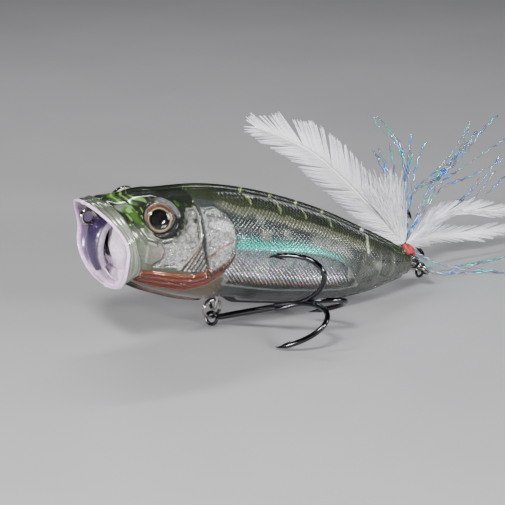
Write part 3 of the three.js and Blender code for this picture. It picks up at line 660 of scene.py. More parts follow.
def skin(side):
    """One half of the body: the back wall of the mouth, its cup, the lip and the moulded outside."""
    columns = 180
    half_turn = np.linspace(math.pi / 2, 3 * math.pi / 2, columns)
    rows, paints, shines, foils, scale_masks, places = [], [], [], [], [], []

    def push(points, paint, shine=0.0, foil=0.0, scale=0.0, place=None):
        points = points.copy()
        points[:, 1] = np.minimum(points[:, 1], -0.05) * side
        rows.append(points)
        paints.append(paint)
        shines.append(np.broadcast_to(shine, columns))
        foils.append(np.broadcast_to(foil, columns))
        scale_masks.append(np.broadcast_to(scale, columns))
        places.append(points[:, [0, 2, 1]] if place is None else place)

    solid = np.ones((columns, 1))
    edge = body_point(CUP_DEPTH, half_turn, 0, CUP_MOUTH - CUP_TAPER)
    middle = np.array([edge[:, 0].mean() - 1.6, 0, edge[[0, -1], 2].mean()])
    for radial in np.linspace(0.01, 1, 50):
        points = middle + (edge - middle) * radial
        points[:, 0] = middle[0] + (edge[:, 0] - middle[0]) * radial**1.5
        y, z = np.abs(points[:, 1]), points[:, 2]
        # A near-black strip on the back wall beside the pillar: a painted shadow in the gap between the
        # pillar and the wall.
        slot = smooth_step(0.25, -0.05, y - 1.15) * smooth_step(0.3, 0.0, np.abs(z - 0.7) - 2.1)
        colour = paint_cup(np.ones(columns), half_turn, np.full(columns, radial), side)
        colour = colour * (1 - 0.99 * slot[:, None])
        push(points, np.hstack([colour, solid]))
    for t in np.linspace(0.97, 0.0, 22):
        points = body_point(CUP_DEPTH * t, half_turn, 0, CUP_MOUTH - CUP_TAPER * t**2)
        colour = paint_cup(np.full(columns, t), half_turn, np.ones(columns), side)
        push(points, np.hstack([colour, solid]))
    for t in np.linspace(0.12, 0.95, 8):
        share = (1 - math.cos(math.pi * t)) / 2
        points = body_point(0.0, half_turn, 0, CUP_MOUTH + (1 - CUP_MOUTH) * share)
        points[:, 0] -= 0.3 * math.sin(math.pi * t)
        colour = np.broadcast_to([0.84, 0.60, 0.85], (columns, 3))
        push(points, np.hstack([colour, solid]))
    stations = np.concatenate([np.linspace(0, 26, 150), np.linspace(26.25, BODY_LENGTH, 150)])
    trim = TAIL_TRIM * smooth_step(58, 64, stations)
    under = np.maximum(-np.sin(half_turn), 0) ** 8
    hollow = RING_RECESS * np.exp(-(((stations - RING_STATION) / 2.6) ** 4))
    insets = trim[:, None] + hollow[:, None] * under
    grid = np.stack([body_point(station, half_turn, inset) for station, inset in zip(stations, insets)])
    along, across = np.gradient(grid, axis=0), np.gradient(grid, axis=1)
    normals = np.cross(along, across)
    normals /= np.linalg.norm(normals, axis=-1, keepdims=True) + 1e-9
    if normals[150, columns // 2, 1] > 0:
        normals = -normals
    r_eye, _ = eye_distance(grid)
    s = np.broadcast_to(stations[:, None], r_eye.shape)
    z = grid[..., 2]
    r_eye = np.where(grid[..., 1] < -0.5, r_eye, 99)
    grid = grid + normals * relief(s, z, r_eye)[..., None]
    flat = smooth_step(2.85, 2.6, r_eye)
    _, eye_depth = eye_distance(grid)
    grid = grid + EYE_FACING * ((-0.55 - eye_depth) * flat)[..., None]
    paint, shine, foil, scales = paint_skin(s, z, r_eye, np.abs(grid[..., 1]))
    for i in range(len(stations)):
        place = np.stack([s[i], z[i], grid[i, :, 1]], -1)
        push(grid[i], paint[i], shine[i], foil[i], scales[i], place)
    for t in np.linspace(0.15, 1.0, CAP_ROWS):
        points = body_point(BODY_LENGTH, half_turn, TAIL_TRIM, max(math.cos(t * math.pi / 2), 0.02))
        points[:, 0] += 0.1 * math.sin(t * math.pi / 2)
        push(points, paint[-1])
    points = body_to_design(np.vstack(rows))
    faces = grid_faces(len(rows), columns, flip=side > 0)
    hand = "left" if side > 0 else "right"
    piece = mesh_piece(
        f"skin_{hand}",
        points,
        faces,
        [skin_material, inside_material],
        "lure_body",
        nodes=[f"shell_{hand}"],
        slot="clear_shell",
        attributes={
            "paint": np.vstack(paints),
            "cover": np.vstack(paints)[:, 3],
            "shine": np.concatenate(shines),
            "foil": np.concatenate(foils),
            "scales": np.concatenate(scale_masks),
            "flank": np.vstack(places),
        },
    )
    before = len(rows) - len(stations) - CAP_ROWS
    station = np.concatenate([np.full(before, 0.0), stations, np.full(CAP_ROWS, BODY_LENGTH)])
    share = np.repeat(0.2 + 0.8 * smooth_step(1.0, 9.0, station), columns)
    group = piece.vertex_groups.new(name="wall")
    for weight in np.unique(np.round(share, 2)):
        group.add(np.flatnonzero(np.round(share, 2) == weight).tolist(), float(weight), "REPLACE")
    thick = piece.modifiers.new("wall", "SOLIDIFY")
    thick.vertex_group = "wall"
    thick.thickness = SKIN_THICKNESS * MM
    thick.offset = -1
    thick.material_offset = 1
    return piece


def mouth_column():
    """The half-round pillar at the back of the mouth, and the tongue at its foot."""
    soup = Soup()
    pillar = [(4.4, 0, 4.9), (3.2, 0, 3.6), (2.7, 0, 2.0), (2.8, 0, 0), (3.6, 0, -2.0), (4.7, 0, -3.4)]
    path = sample(pillar, 60)
    widths = np.interp(np.linspace(0, 1, 60), [0, 0.15, 0.5, 0.8, 1], [2.3, 2.6, 2.3, 1.6, 0.9])
    points, faces = sweep(path, 32, widths, np.full(60, 1.3), (0, 1, 0))
    # Points near the pillar's edges get a high shade value, which the material turns light grey: a painted
    # highlight along the edges.
    edge = np.abs(points[:, 1]) / np.concatenate([np.repeat(widths, 32), widths[:1], widths[-1:]])
    soup.add(body_to_design(points), faces, smooth_step(0.88, 0.98, edge))
    path = sample([(4.3, 0, -3.0), (5.0, 0, -4.1), (5.8, 0, -5.0), (6.3, 0, -5.5)], 40)
    widths = np.interp(np.linspace(0, 1, 40), [0, 0.4, 0.75, 0.92, 1], [0.8, 2.0, 3.1, 2.6, 0.8])
    points, faces = sweep(path, 24, widths, np.full(40, 0.3), (0, 1, 0))
    soup.add(body_to_design(points), faces, np.full(len(points), 0.55))
    return soup.piece("mouth_column", mouth_material, "lure_body", slot="clear_shell")


def mouth_look():
    """Dark violet to pearl plastic of the mouth's pillar and tongue, with a painted highlight along the
    pillar's edges.
    """
    m = Material("mouth_pearl", Roughness=0.25, Coat_Weight=0.8, Coat_Roughness=0.05)
    stops = [
        (0.0, (0.035, 0.022, 0.06)),
        (0.35, (0.10, 0.085, 0.13)),
        (0.6, (0.42, 0.32, 0.42)),
        # Light grey at the top of the ramp: the painted highlight along the pillar's edges.
        (1.0, (0.52, 0.50, 0.52)),
    ]
    cloud = m.noise(m.coordinates((1, 1, 1)), 1500, 5.0, 0.6)
    shade = m.ramp(cloud, [(0.3, (0.6, 0.6, 0.65)), (0.7, (1.3, 1.25, 1.35))])
    m.set("Base Color", m.mix(0.8, m.ramp(m.attribute("shade"), stops), shade, "MULTIPLY"))
    m.set("Normal", m.bump(cloud, 0.25, 0.0002))
    return m


def scale_cells(m, flank, randomness):
    """Staggered rows of lozenge scales over the flank.

    Gives how near the edge of its scale a place is, a lean from 0 at a scale's front to 1 at its
    back, and a random colour for each scale.
    """
    split = m.node("SeparateXYZ", {"Vector": flank})
    along = m.math("MULTIPLY", split.outputs["X"], 1 / SCALE_PITCH)
    up = m.math("MULTIPLY", split.outputs["Y"], 1 / SCALE_ROW)
    corners = {0: m.math("ADD", along, up), 1: m.math("SUBTRACT", along, up)}
    lattice = m.node("CombineXYZ", corners).outputs[0]
    cell = m.node("TexVoronoi", {"Vector": lattice, "Scale": 1.0, "Randomness": randomness})
    offset = m.node("VectorMath", {0: lattice, 1: cell.outputs["Position"]}, operation="SUBTRACT").outputs[0]
    front = m.node("VectorMath", {0: offset, 1: (0.5, 0.5, 0)}, operation="DOT_PRODUCT").outputs["Value"]
    lean = m.math("ADD", front, 0.5, clamp=True)
    edge = m.node("MapRange", {"Value": cell.outputs["Distance"], "From Min": 0.34, "From Max": 0.6})
    return edge.outputs[0], lean, cell.outputs["Color"], cell.outputs["Distance"]


def skin_look():
    """Printed clear plastic: colour and cover from the mesh, fine scales, crackled foil, clear coat."""
    m = Material("printed_clear_plastic", Coat_Weight=0.55, Coat_Roughness=0.04)
    paint = m.attribute("paint", "Color")
    flank = m.attribute("flank", "Vector")
    scales, foil = m.attribute("scales"), m.attribute("foil")
    _, lean, _, distance = scale_cells(m, flank, 0.15)
    crackle = m.node("TexVoronoi", {"Vector": flank, "Scale": 3.2}, feature="DISTANCE_TO_EDGE")
    crack = m.ramp(crackle.outputs["Distance"], [(0.0, (1, 1, 1)), (0.10, (0, 0, 0))])
    crack = m.math("MULTIPLY", crack, foil)
    wobble = m.noise(flank, 2.2, 6.0, 0.6)
    tone = m.ramp(wobble, [(0.3, (0.7, 0.7, 0.7)), (0.7, (1.25, 1.25, 1.25))])
    colour = m.mix(0.8, paint, tone, "MULTIPLY")
    # Each scale is painted lighter at its front and darker at its back: a painted highlight and painted shade
    # on every scale.
    scale_light_and_shade = m.ramp(lean, [(0.05, (3.0, 3.0, 2.6)), (0.45, (0.9, 0.9, 0.9)), (0.95, (0.15, 0.15, 0.15))])
    colour = m.mix(m.math("MULTIPLY", scales, 0.9), colour, m.mix(1.0, colour, scale_light_and_shade, "MULTIPLY"))
    speck = m.ramp(m.noise(flank, 1.9, 9.0, 0.78), [(0.42, (0.05, 0.045, 0.035)), (0.54, (1, 1, 1))])
    colour = m.mix(m.math("MULTIPLY", foil, 0.85), colour, m.mix(1.0, colour, speck, "MULTIPLY"))
    colour = m.mix(m.math("MULTIPLY", crack, 0.35), colour, (0.05, 0.045, 0.03, 1))
    m.set("Base Color", colour)
    m.set("Metallic", m.attribute("shine"))
    m.set("Alpha", m.attribute("cover"))
    m.set("Roughness", m.math("ADD", m.math("MULTIPLY", wobble, 0.14), 0.05))
    facets = m.node("TexVoronoi", {"Vector": flank, "Scale": 3.2}, feature="F1")
    crumple = m.math("ADD", facets.outputs["Distance"], m.noise(flank, 2.6, 8.0, 0.7))
    foil_height = m.math("MULTIPLY", crumple, foil)
    scale_height = m.math("MULTIPLY", m.math("ADD", distance, lean), m.math("MULTIPLY", scales, -1.0))
    normal = m.bump(scale_height, 0.8, 0.00016)
    normal = m.bump(foil_height, 1.0, 0.0009, normal)
    m.set("Normal", normal)
    m.set("Coat Normal", m.bump(scale_height, 0.5, 0.00012))
    station = m.node("SeparateXYZ", {"Vector": flank}).outputs["X"]
    for socket, most in (("Coat Weight", 0.6), ("Specular IOR Level", 0.45)):  # duller head
        stretch = {"From Min": 14.0, "From Max": 24.0, "To Min": 0.2, "To Max": most}
        m.set(socket, m.node("MapRange", {"Value": station, **stretch}).outputs[0])
    return m


def inside_look():
    """The inner face of the clear shells: barely tinted, so that what is inside shows."""
    m = Material("clear_inner_face", Roughness=0.15, Base_Color=(0.25, 0.27, 0.25, 1))
    haze = m.noise(m.coordinates((600, 600, 600)), 1.0, 3.0)
    m.set("Alpha", m.math("ADD", m.math("MULTIPLY", haze, 0.05), 0.01))
    return m


# ---------------------------------------------------------------- inside the body


def foil_look():
    """Silver film pressed with rows of scales, with a faint rainbow that runs along the flank."""
    m = Material("scale_foil", Metallic=0.9, Coat_Weight=0.5, Coat_Roughness=0.05)
    flank = m.attribute("flank", "Vector")
    edge, lean, tint, distance = scale_cells(m, flank, 0.08)
    height = m.node("SeparateXYZ", {"Vector": flank}).outputs["Y"]
    along = m.node("SeparateXYZ", {"Vector": flank}).outputs["X"]
    drop = m.math("MULTIPLY", m.math("SUBTRACT", along, 24.0), 0.02)
    height = m.math("ADD", height, drop)
    band = m.node("MapRange", {"Value": height, "From Min": -4.4, "From Max": 2.8}).outputs[0]
    # Brightest across the film's middle and darker toward its lower edge, a painted highlight and painted
    # shade, with an orange line near the bottom as painted glints, over the film's own rainbow tints.
    sheen = m.ramp(
        band,
        [
            (0.0, (0.10, 0.11, 0.12)),
            (0.10, (0.30, 0.30, 0.32)),
            (0.17, (1.0, 0.50, 0.36)),
            (0.24, (0.60, 0.62, 0.66)),
            (0.34, (0.90, 0.84, 0.92)),
            (0.60, (0.90, 0.93, 0.95)),
            (0.88, (0.72, 0.92, 0.94)),
            (0.95, (0.30, 0.86, 0.80)),
            (1.0, (0.05, 0.55, 0.50)),
        ],
    )
    tint = m.node("HueSaturation", {"Color": tint, "Saturation": 0.6, "Value": 1.5}).outputs[0]
    colour = m.mix(0.4, sheen, tint, "MULTIPLY")
    # Each scale of the film is painted lighter at its front and darker at its back: a painted highlight and
    # painted shade.
    scale_light_and_shade = m.ramp(lean, [(0.05, (1.7, 1.7, 1.7)), (0.45, (1.0, 1.0, 1.0)), (0.95, (0.35, 0.35, 0.38))])
    colour = m.mix(1.0, colour, scale_light_and_shade, "MULTIPLY")
    patch = m.ramp(m.noise(flank, 0.28, 3.0, 0.6), [(0.38, (0.45, 0.46, 0.48)), (0.58, (1.25, 1.25, 1.25))])
    colour = m.mix(0.8, colour, patch, "MULTIPLY")
    m.set("Base Color", m.mix(m.math("MULTIPLY", edge, 0.8), colour, (0.02, 0.024, 0.03, 1)))
    m.set("Roughness", m.math("ADD", m.math("MULTIPLY", edge, 0.25), 0.2))
    hollow = m.math("ADD", distance, m.math("MULTIPLY", lean, 0.6))
    m.set("Normal", m.bump(m.math("MULTIPLY", hollow, -1.0), 1.0, 0.0004))
    return m


def foil_plate(side):
    """The bent film inside one shell, from its upper to its lower edge."""
    hand = "left" if side > 0 else "right"
    stations = np.linspace(24.0, 51.3, 110)
    high, low = np.interp(stations, *FOIL_TOP), np.interp(stations, *FOIL_LOW)
    sheets = []
    for inset in (WALL + 0.35, WALL + 0.7):
        heights = low[:, None] + (high - low)[:, None] * np.linspace(0, 1, 40)
        sheets.append(flank_point(stations[:, None], heights, inset, side))
    loops = np.concatenate([sheets[0], sheets[1][:, ::-1]], axis=1)
    rows, around = loops.shape[:2]
    points = loops.reshape(-1, 3)
    faces = grid_faces(rows, around, wrap=True, flip=side < 0)
    faces.append(tuple(range(around)) if side < 0 else tuple(range(around))[::-1])
    tail = [(rows - 1) * around + j for j in range(around)]
    faces.append(tuple(tail)[::-1] if side < 0 else tuple(tail))
    place = points[:, [0, 2, 1]]
    return mesh_piece(
        f"scale_foil_{hand}", body_to_design(points), faces, foil_material, "lure_body",
        nodes=[f"foil_plate_{hand}"], slot="foil", attributes={"flank": place},
    )


# Station, height, radius, hole's radius, depth and stretch along the body of each moulded pin.
BOSSES = (
    (28.8, 7.4, 0.55, 0.12, 2.0, 1.5),
    (29.8, 5.0, 0.95, 0.5, 2.6, 1.0),
    (34.2, 5.4, 0.7, 0.2, 2.4, 1.0),
    (47.5, 1.2, 0.5, 0.15, 1.8, 1.0),
    (55.8, 0.3, 0.75, 0.4, 2.0, 1.0),
)


def boss(soup, station, height, radius, hole, side, depth, stretch):
    """A moulded pin or tube that stands in from one shell, seen through the clear plastic."""
    start = flank_point(np.array(station), np.array(height), 0.85, side)
    angles = np.arange(28) / 28 * 2 * math.pi
    inward = np.array([0, side * 1.0, 0])
    ring = np.stack([np.cos(angles) * stretch, 0 * angles, np.sin(angles)], -1)
    outline = [(radius, 0), (radius, depth), (hole, depth), (hole, 0.25)]
    points = [start + inward * d + r * ring for r, d in outline]
    points += [(start + inward * 0.25)[None], start[None]]
    faces = grid_faces(4, 28, wrap=True, flip=side > 0)
    middle, back = 4 * 28, 4 * 28 + 1
    for j in range(28):
        k = (j + 1) % 28
        inner = (middle, 3 * 28 + j, 3 * 28 + k)
        outer = (back, k, j)
        faces.append(inner if side < 0 else inner[::-1])
        faces.append(outer if side < 0 else outer[::-1])
    soup.add(body_to_design(np.vstack(points)), faces)


def inner_moulding(side):
    """Bosses and cross walls moulded on the inside of one shell."""
    soup = Soup()
    for station, height, radius, hole, depth, stretch in BOSSES:
        boss(soup, station, height, radius, hole, side, depth, stretch)
    for station, depth in ((52.7, 0.3), (57.0, 0.22), (60.4, 0.5)):
        angles = np.linspace(math.pi / 2, 3 * math.pi / 2, 40)
        rim = body_point(station, angles, 0.85)
        rim[:, 1] = np.minimum(rim[:, 1], -0.25)
        rings = []
        for offset, scale in ((0, 1.0), (depth, 1.0), (depth, 0.62), (0, 0.62)):
            middle = np.array([station, 0, (profile(TOP, station) + profile(BOTTOM, station)) / 2])
            ring = middle + (rim - middle) * np.array([1, scale, scale])
            ring[:, 0] = station + offset
            ring[:, 1] = np.minimum(ring[:, 1], -0.2)
            rings.append(ring)
        loops = np.stack(rings, axis=1)
        loops[..., 1] *= side
        points = loops.reshape(-1, 3)
        faces = grid_faces(40, 4, wrap=True, flip=side < 0)
        faces.append((0, 1, 2, 3) if side < 0 else (3, 2, 1, 0))
        last = 39 * 4
        end = (last, last + 1, last + 2, last + 3)
        faces.append(end[::-1] if side < 0 else end)
        soup.add(body_to_design(points), faces)
    for corners in CHAMBER_WALLS:
        (s0, z0), (s1, z1) = corners
        shares = np.linspace(0, 1, 12)
        line = np.array([flank_point(s0 + (s1 - s0) * t, z0 + (z1 - z0) * t, 1.1, side) for t in shares])
        tube = sweep(body_to_design(line), 8, 0.17, 0.3, (0, 1, 0))
        soup.add(*tube)
    hand = "left" if side > 0 else "right"
    return soup.piece(f"inner_moulding_{hand}", moulding_material, "lure_body", slot="clear_shell")


# ---------------------------------------------------------------- eyes


def eye(side):
    """Printed iris disc, black domed pupil on it, and the clear dome over both."""
    hand = "left" if side > 0 else "right"
    centre, facing = EYE_CENTRE * [1, side, 1], EYE_FACING * [1, side, 1]
    disc = Soup()
    outline = [(0, -0.4), (2.42, -0.4), (2.46, -0.34), (2.46, -0.06), (2.40, 0.0)]
    outline += [(r, 0.0) for r in np.linspace(2.3, 0.2, 18)] + [(0, 0.0)]
    points, faces = turned(outline, centre, facing, 64)
    lid = unit(np.array([0, 0, 1]) - facing[2] * facing)
    looks_at = centre - lid * PUPIL_DROP
    from_pupil = np.linalg.norm(np.cross(points - looks_at, facing), axis=1)
    from_rim = np.linalg.norm(np.cross(points - centre, facing), axis=1)
    shade = np.maximum(np.minimum(from_pupil / 2.6, 0.93), smooth_step(2.2, 2.45, from_rim))
    disc.add(body_to_design(points), faces, shade)
    disc.piece(f"iris_{hand}", iris_material, "lure_body", nodes=[f"eye_disc_{hand}"], slot="eye_print")
    pupil = Soup()
    arc = [(1.5 * math.cos(a), 0.06 + 0.34 * math.sin(a)) for a in np.linspace(0, math.pi / 2, 9)[:-1]]
    points, faces = turned([(0, 0.03), (1.5, 0.03), *arc, (0, 0.40)], looks_at, facing, 48)
    pupil.add(body_to_design(points), faces)
    pupil.piece(f"pupil_{hand}", pupil_material, "lure_body", slot="eye_print")
    dome = Soup()
    arc = [(2.48 * math.cos(a), 0.2 + 1.0 * math.sin(a)) for a in np.linspace(0, math.pi / 2, 14)[:-1]]
    inner = [(2.2 * math.cos(a), 0.12 + 0.5 * math.sin(a)) for a in np.linspace(math.pi / 2, 0, 12)[1:]]
    points, faces = turned([(0, 0.62), *inner, (2.48, 0.12), *arc, (0, 1.2)], centre, facing, 64)
    dome.add(body_to_design(points), faces)
    dome.piece(
        f"eye_dome_clear_{hand}", dome_material, "lure_body", nodes=[f"eye_dome_{hand}"], slot="eye_clear"
    )


def iris_look():
    """Printed iris: black, a gold ring, a brown field and a pale rim."""
    m = Material("eye_print", Roughness=0.3, Coat_Weight=1.0, Coat_Roughness=0.04)
    radius = m.attribute("shade")
    rings = m.ramp(
        radius,
        [
            (0.0, (0.01, 0.01, 0.01)),
            (0.63, (0.01, 0.01, 0.01)),
            (0.66, (0.78, 0.52, 0.22)),
            (0.70, (0.78, 0.52, 0.22)),
            (0.735, (0.14, 0.055, 0.035)),
            (0.90, (0.25, 0.10, 0.065)),
            (0.94, (0.55, 0.45, 0.38)),
            (1.0, (0.65, 0.60, 0.55)),
        ],
    )
    grain = m.noise(m.coordinates((2500, 2500, 2500)), 1.0, 5.0, 0.7)
    shade = m.ramp(grain, [(0.3, (0.65, 0.65, 0.65)), (0.7, (1.25, 1.25, 1.25))])
    m.set("Base Color", m.mix(0.7, rings, shade, "MULTIPLY"))
    m.set("Metallic", m.math("MULTIPLY", m.math("GREATER_THAN", radius, 0.64), 0.65))
    m.set("Normal", m.bump(grain, 0.25, 0.0001))
    return m


def gloss_look(name, colour, roughness, metallic=0.0, coat=1.0, grain_scale=3000, spread=0.15, **sockets):
    """A smooth dense surface with faint scratches and colour drift."""
    m = Material(name, Metallic=metallic, Coat_Weight=coat, Coat_Roughness=0.03, **sockets)
    place = m.coordinates((1, 1, 1))
    grain = m.noise(place, grain_scale, 5.0, 0.65)
    drift = m.noise(place, grain_scale * 0.12, 3.0)
    dark = tuple(c * (1 - spread) for c in colour)
    light = tuple(min(1, c * (1 + spread)) for c in colour)
    m.set("Base Color", m.ramp(drift, [(0.35, dark), (0.65, light)]))
    m.set("Roughness", m.math("ADD", m.math("MULTIPLY", grain, roughness * 0.8), roughness * 0.6))
    m.set("Normal", m.bump(grain, 0.12, 0.00003))
    return m


def dome_look():
    """Clear resin of the eye's dome."""
    m = Material("clear_eye_resin", Roughness=0.02, Transmission_Weight=1.0, IOR=1.5)
    m.set("Base Color", (1, 1, 1, 1))
    swirl = m.noise(m.coordinates((900, 900, 900)), 1.0, 2.0)
    m.set("Normal", m.bump(swirl, 0.03, 0.0001))
    return m


# ---------------------------------------------------------------- wires, rings and hooks


def wire_eye(centre, radius, stem_end):
    """Path of a wire eye in the XZ plane with its stem along x."""
    away = math.copysign(1, stem_end - centre[0])
    points = [[stem_end, 0, centre[2]]]
    points.append([centre[0] + away * (radius + 1.6), 0, centre[2]])
    points.append([centre[0] + away * (radius + 0.5), 0, centre[2] + 0.1])
    for degrees in np.linspace(35, 318, 22):
        a = math.radians(degrees)
        points.append([centre[0] + away * radius * math.cos(a), 0, centre[2] + radius * math.sin(a)])
    return body_to_design(sample(points, 110))


def wires():
    """The line tie, the tail eye and the belly hanger."""
    eyes = (
        ("line_tie_wire", "line_tie_eye", (0.7, 0, 4.6), 1.2, 0.35, 12.5),
        ("tail_wire", "tail_hanger", (66.4, 0, 0.15), 1.0, 0.25, 57.5),
    )
    for name, node, centre, radius, wire, stem in eyes:
        soup = Soup()
        soup.add(*sweep(wire_eye(centre, radius, stem), 16, wire))
        soup.piece(name, steel_material, "lure_body", nodes=[node], slot="wire_steel")
    x, z, half = 26.95, -9.66, 0.9
    points = [[x, -half, -6.3], [x, -half, z + half + 0.4]]
    for degrees in np.linspace(180, 360, 12):
        a = math.radians(degrees)
        points.append([x, half * math.cos(a), z + half + half * math.sin(a)])
    points += [[x, half, z + half + 0.4], [x, half, -6.3]]
    soup = Soup()
    soup.add(*sweep(body_to_design(sample(points, 70)), 16, 0.3))
    soup.piece("belly_hanger_wire", steel_material, "lure_body", nodes=["belly_hanger"], slot="wire_steel")


def split_ring(name, node, body, centre, axis):
    """Two flat turns of spring wire round an axis; both ends are left as on a real ring."""
    axis = unit(axis)
    first = unit(np.array([-axis[2], 0, axis[0]]) if abs(axis[1]) < 0.99 else np.array([1.0, 0, 0]))
    second = np.cross(first, axis)
    turns = np.linspace(0, 1, 190)
    angle = turns * RING_TURNS * 2 * math.pi + 0.6
    rise = (turns - 0.5) * RING_PITCH * RING_TURNS
    path = centre + RING_RADIUS * (np.outer(np.cos(angle), first) + np.outer(np.sin(angle), second))
    path += np.outer(rise, axis)
    soup = Soup()
    soup.add(*sweep(path, 14, RING_WIRE, RING_WIRE, axis))
    return soup.piece(name, steel_material, body, nodes=[node], slot="wire_steel")


def treble(
    name, node, body, eye_place, along, first_prong, eye_axis, shank, gape, bend, tip_back, wire, eye_radius
):
    """A treble hook: an eye and shank, and three round bends with barbed needle points."""
    d = unit(along)
    first = np.asarray(first_prong, float)
    first = unit(first - first.dot(d) * d)
    second = np.cross(d, first)
    eye_axis = unit(np.asarray(eye_axis) - np.dot(eye_axis, d) * d)
    side = np.cross(d, eye_axis)
    soup = Soup()
    angles = np.linspace(math.radians(16), math.radians(344), 60)
    loop = [eye_place + eye_radius * (math.cos(a) * d + math.sin(a) * side) for a in angles]
    neck_a = eye_place + d * (eye_radius + 1.1) + side * wire * 0.25
    neck_b = eye_place + d * (eye_radius + 1.1) - side * wire * 0.25
    soup.add(*sweep(sample([neck_a, *loop, neck_b], 110), 14, wire * 0.66))
    start, end = eye_place + d * (eye_radius + 0.25), eye_place + d * (shank + 0.5)
    widths = wire * (1.16 + 0.10 * np.sin(np.linspace(0, math.pi, 40)))
    widths[0] = wire * 0.8
    soup.add(*sweep(sample([start, end], 40), 18, widths))
    for i in range(3):
        turn = i * 2 * math.pi / 3
        out = math.cos(turn) * first + math.sin(turn) * second

        def place(s, q):
            return eye_place + d * s + out * q

        points = [place(shank - 3.0, wire * 0.75), place(shank - 1.2, wire * 0.8)]
        for degrees in np.linspace(14, 180, 14):
            a = math.radians(degrees)
            points.append(place(shank + bend * math.sin(a), gape / 2 * (1 - math.cos(a))))
        points.append(place(shank - tip_back, gape - 0.25))
        path = sample(points, 150)
        u = np.linspace(0, 1, 150)
        widths = wire * np.clip(0.05 + (1 - u) * 10, 0, 1)
        widths[:6] *= np.linspace(0.35, 1, 6)
        soup.add(*sweep(path, 14, widths))
        root, tip = place(shank + 0.7, gape - wire * 0.5), place(shank + 2.1, gape - wire * 2.3)
        wide, thin = wire * np.linspace(0.8, 0.06, 8), wire * np.linspace(0.5, 0.05, 8)
        soup.add(*sweep(sample([root, tip], 8), 10, wide, thin))
    return soup.piece(name, hook_material, body, nodes=[node], slot="black_nickel")


# ---------------------------------------------------------------- dressing

VIEWED_FLAT = np.array([-0.49, -0.82, 0.29])  # the dressing fans out across this direction


def feather(name, node, points, half_widths, seed, fluff=0.25, widest=0.4, barbs=340, lean=0.7, plume=0):
    """A quill with two vanes of fine barbs, clumped with gaps, and soft fluff at its root."""
    local = np.random.default_rng(seed)
    quill = sample(points, 120)
    tangents = np.gradient(quill, axis=0)
    tangents /= np.linalg.norm(tangents, axis=1, keepdims=True)
    length = np.linalg.norm(np.diff(quill, axis=0), axis=1).sum()
    spacing = length / barbs
    soup = Soup()
    soup.add(*sweep(quill, 8, np.linspace(0.22, 0.05, 120)), np.full(120 * 8 + 2, 1.0))
    across = unit(np.cross(tangents[0], VIEWED_FLAT))
    steps = np.linspace(0, 1, 8)[:, None]
    for side, half_width in zip((-1, 1), half_widths):
        clump_size, in_clump, clump_drift = 8, 0, 0.0
        for n in range(barbs):
            if in_clump >= clump_size:
                clump_size, in_clump = int(local.integers(5, 13)), 0
                clump_drift = local.normal(0, 0.05)
            pull = (in_clump - clump_size / 2) * spacing
            in_clump += 1
            u = min(max((n + local.uniform(-0.3, 0.3)) / barbs, 0.0), 0.99)
            i = int(u * 119)
            taper = 1.0 if u < widest else math.cos((u - widest) / (1 - widest) * math.pi / 2) ** 0.9
            reach = half_width * (0.12 + 0.88 * taper) * (0.75 + 0.25 * min(u / widest, 1))
            tangent = tangents[i]
            out = unit(across * side - np.dot(across * side, tangent) * tangent)
            soft = max(0.0, 1 - u / fluff)
            reach *= 1 + local.normal(0, 0.03 + 0.12 * soft)
            angle = lean * (1 - 0.6 * u**3) + clump_drift + local.normal(0, 0.015 + 0.12 * soft)
            direction = unit(tangent * math.cos(angle) + out * math.sin(angle))
            span = min(reach / max(math.sin(angle), 0.3), (1.06 - u) * length + 0.35 * reach)
            lift = VIEWED_FLAT * reach * local.normal(0, 0.02 + 0.16 * soft)
            gather = -tangent * pull * 0.75 * (1 - soft)
            bow = tangent * reach * 0.12
            path = quill[i] + direction * span * steps + (bow + lift) * steps**2 + gather * steps**1.6
            if soft > 0:
                path += np.cumsum(local.normal(0, 0.05 * soft, (8, 3)), axis=0)
            path[:, 2] = np.maximum(path[:, 2], 0.12)
            width = spacing * np.linspace(1.2, 0.34, 8)
            shade = 1.0 - local.uniform(0.1, 0.75) * steps[:, 0] ** 0.7
            tube = sweep(path, 4, width, width * 0.3, np.cross(direction, VIEWED_FLAT))
            soup.add(*tube, np.concatenate([np.repeat(shade, 4), shade[:1], shade[-1:]]))
    up_side = -across if np.dot(across, [0, 0, 1]) < 0 else across
    for n in range(plume):
        u = local.uniform(0.0, 0.12)
        i = int(u * 119)
        angle = local.uniform(0.05, 0.72)
        direction = tangents[i] * math.cos(angle) + up_side * math.sin(angle)
        direction = unit(direction + VIEWED_FLAT * local.normal(0, 0.1))
        span = local.uniform(5.5, 12.0)
        bend = up_side * span * local.normal(0, 0.05) + VIEWED_FLAT * span * local.normal(0, 0.06)
        path = quill[i] + direction * span * steps + bend * steps**2
        path += np.cumsum(local.normal(0, 0.05, (8, 3)), axis=0)
        shade = 1.0 - local.uniform(0.0, 0.5) * steps[:, 0]
        width = np.linspace(0.12, 0.03, 8)
        tube = sweep(path, 4, width, width * 0.4, np.cross(direction, VIEWED_FLAT))
        soup.add(*tube, np.concatenate([np.repeat(shade, 4), shade[:1], shade[-1:]]))
    return soup.piece(name, feather_material, "tail_hook", nodes=[node], slot="feather_white")


def feather_look():
    """White hackle, greyer toward the tips of its barbs."""
    m = Material("white_hackle", Roughness=0.75, Sheen_Weight=0.35, Sheen_Roughness=0.4)
    shade = m.attribute("shade")
    tone = m.ramp(shade, [(0.25, (0.42, 0.41, 0.52)), (0.6, (0.80, 0.79, 0.88)), (0.9, (1.0, 1.0, 1.0))])
    fibre = m.noise(m.coordinates((1, 1, 1)), 4000, 3.0)
    grey = m.ramp(fibre, [(0.3, (0.7, 0.7, 0.76)), (0.7, (1, 1, 1))])
    m.set("Base Color", m.mix(0.25, tone, grey, "MULTIPLY"))
    m.set("Normal", m.bump(fibre, 0.2, 0.00005))
    m.set("Subsurface Weight", 0.15)
    m.set("Subsurface Radius", (0.001, 0.001, 0.001))
    return m


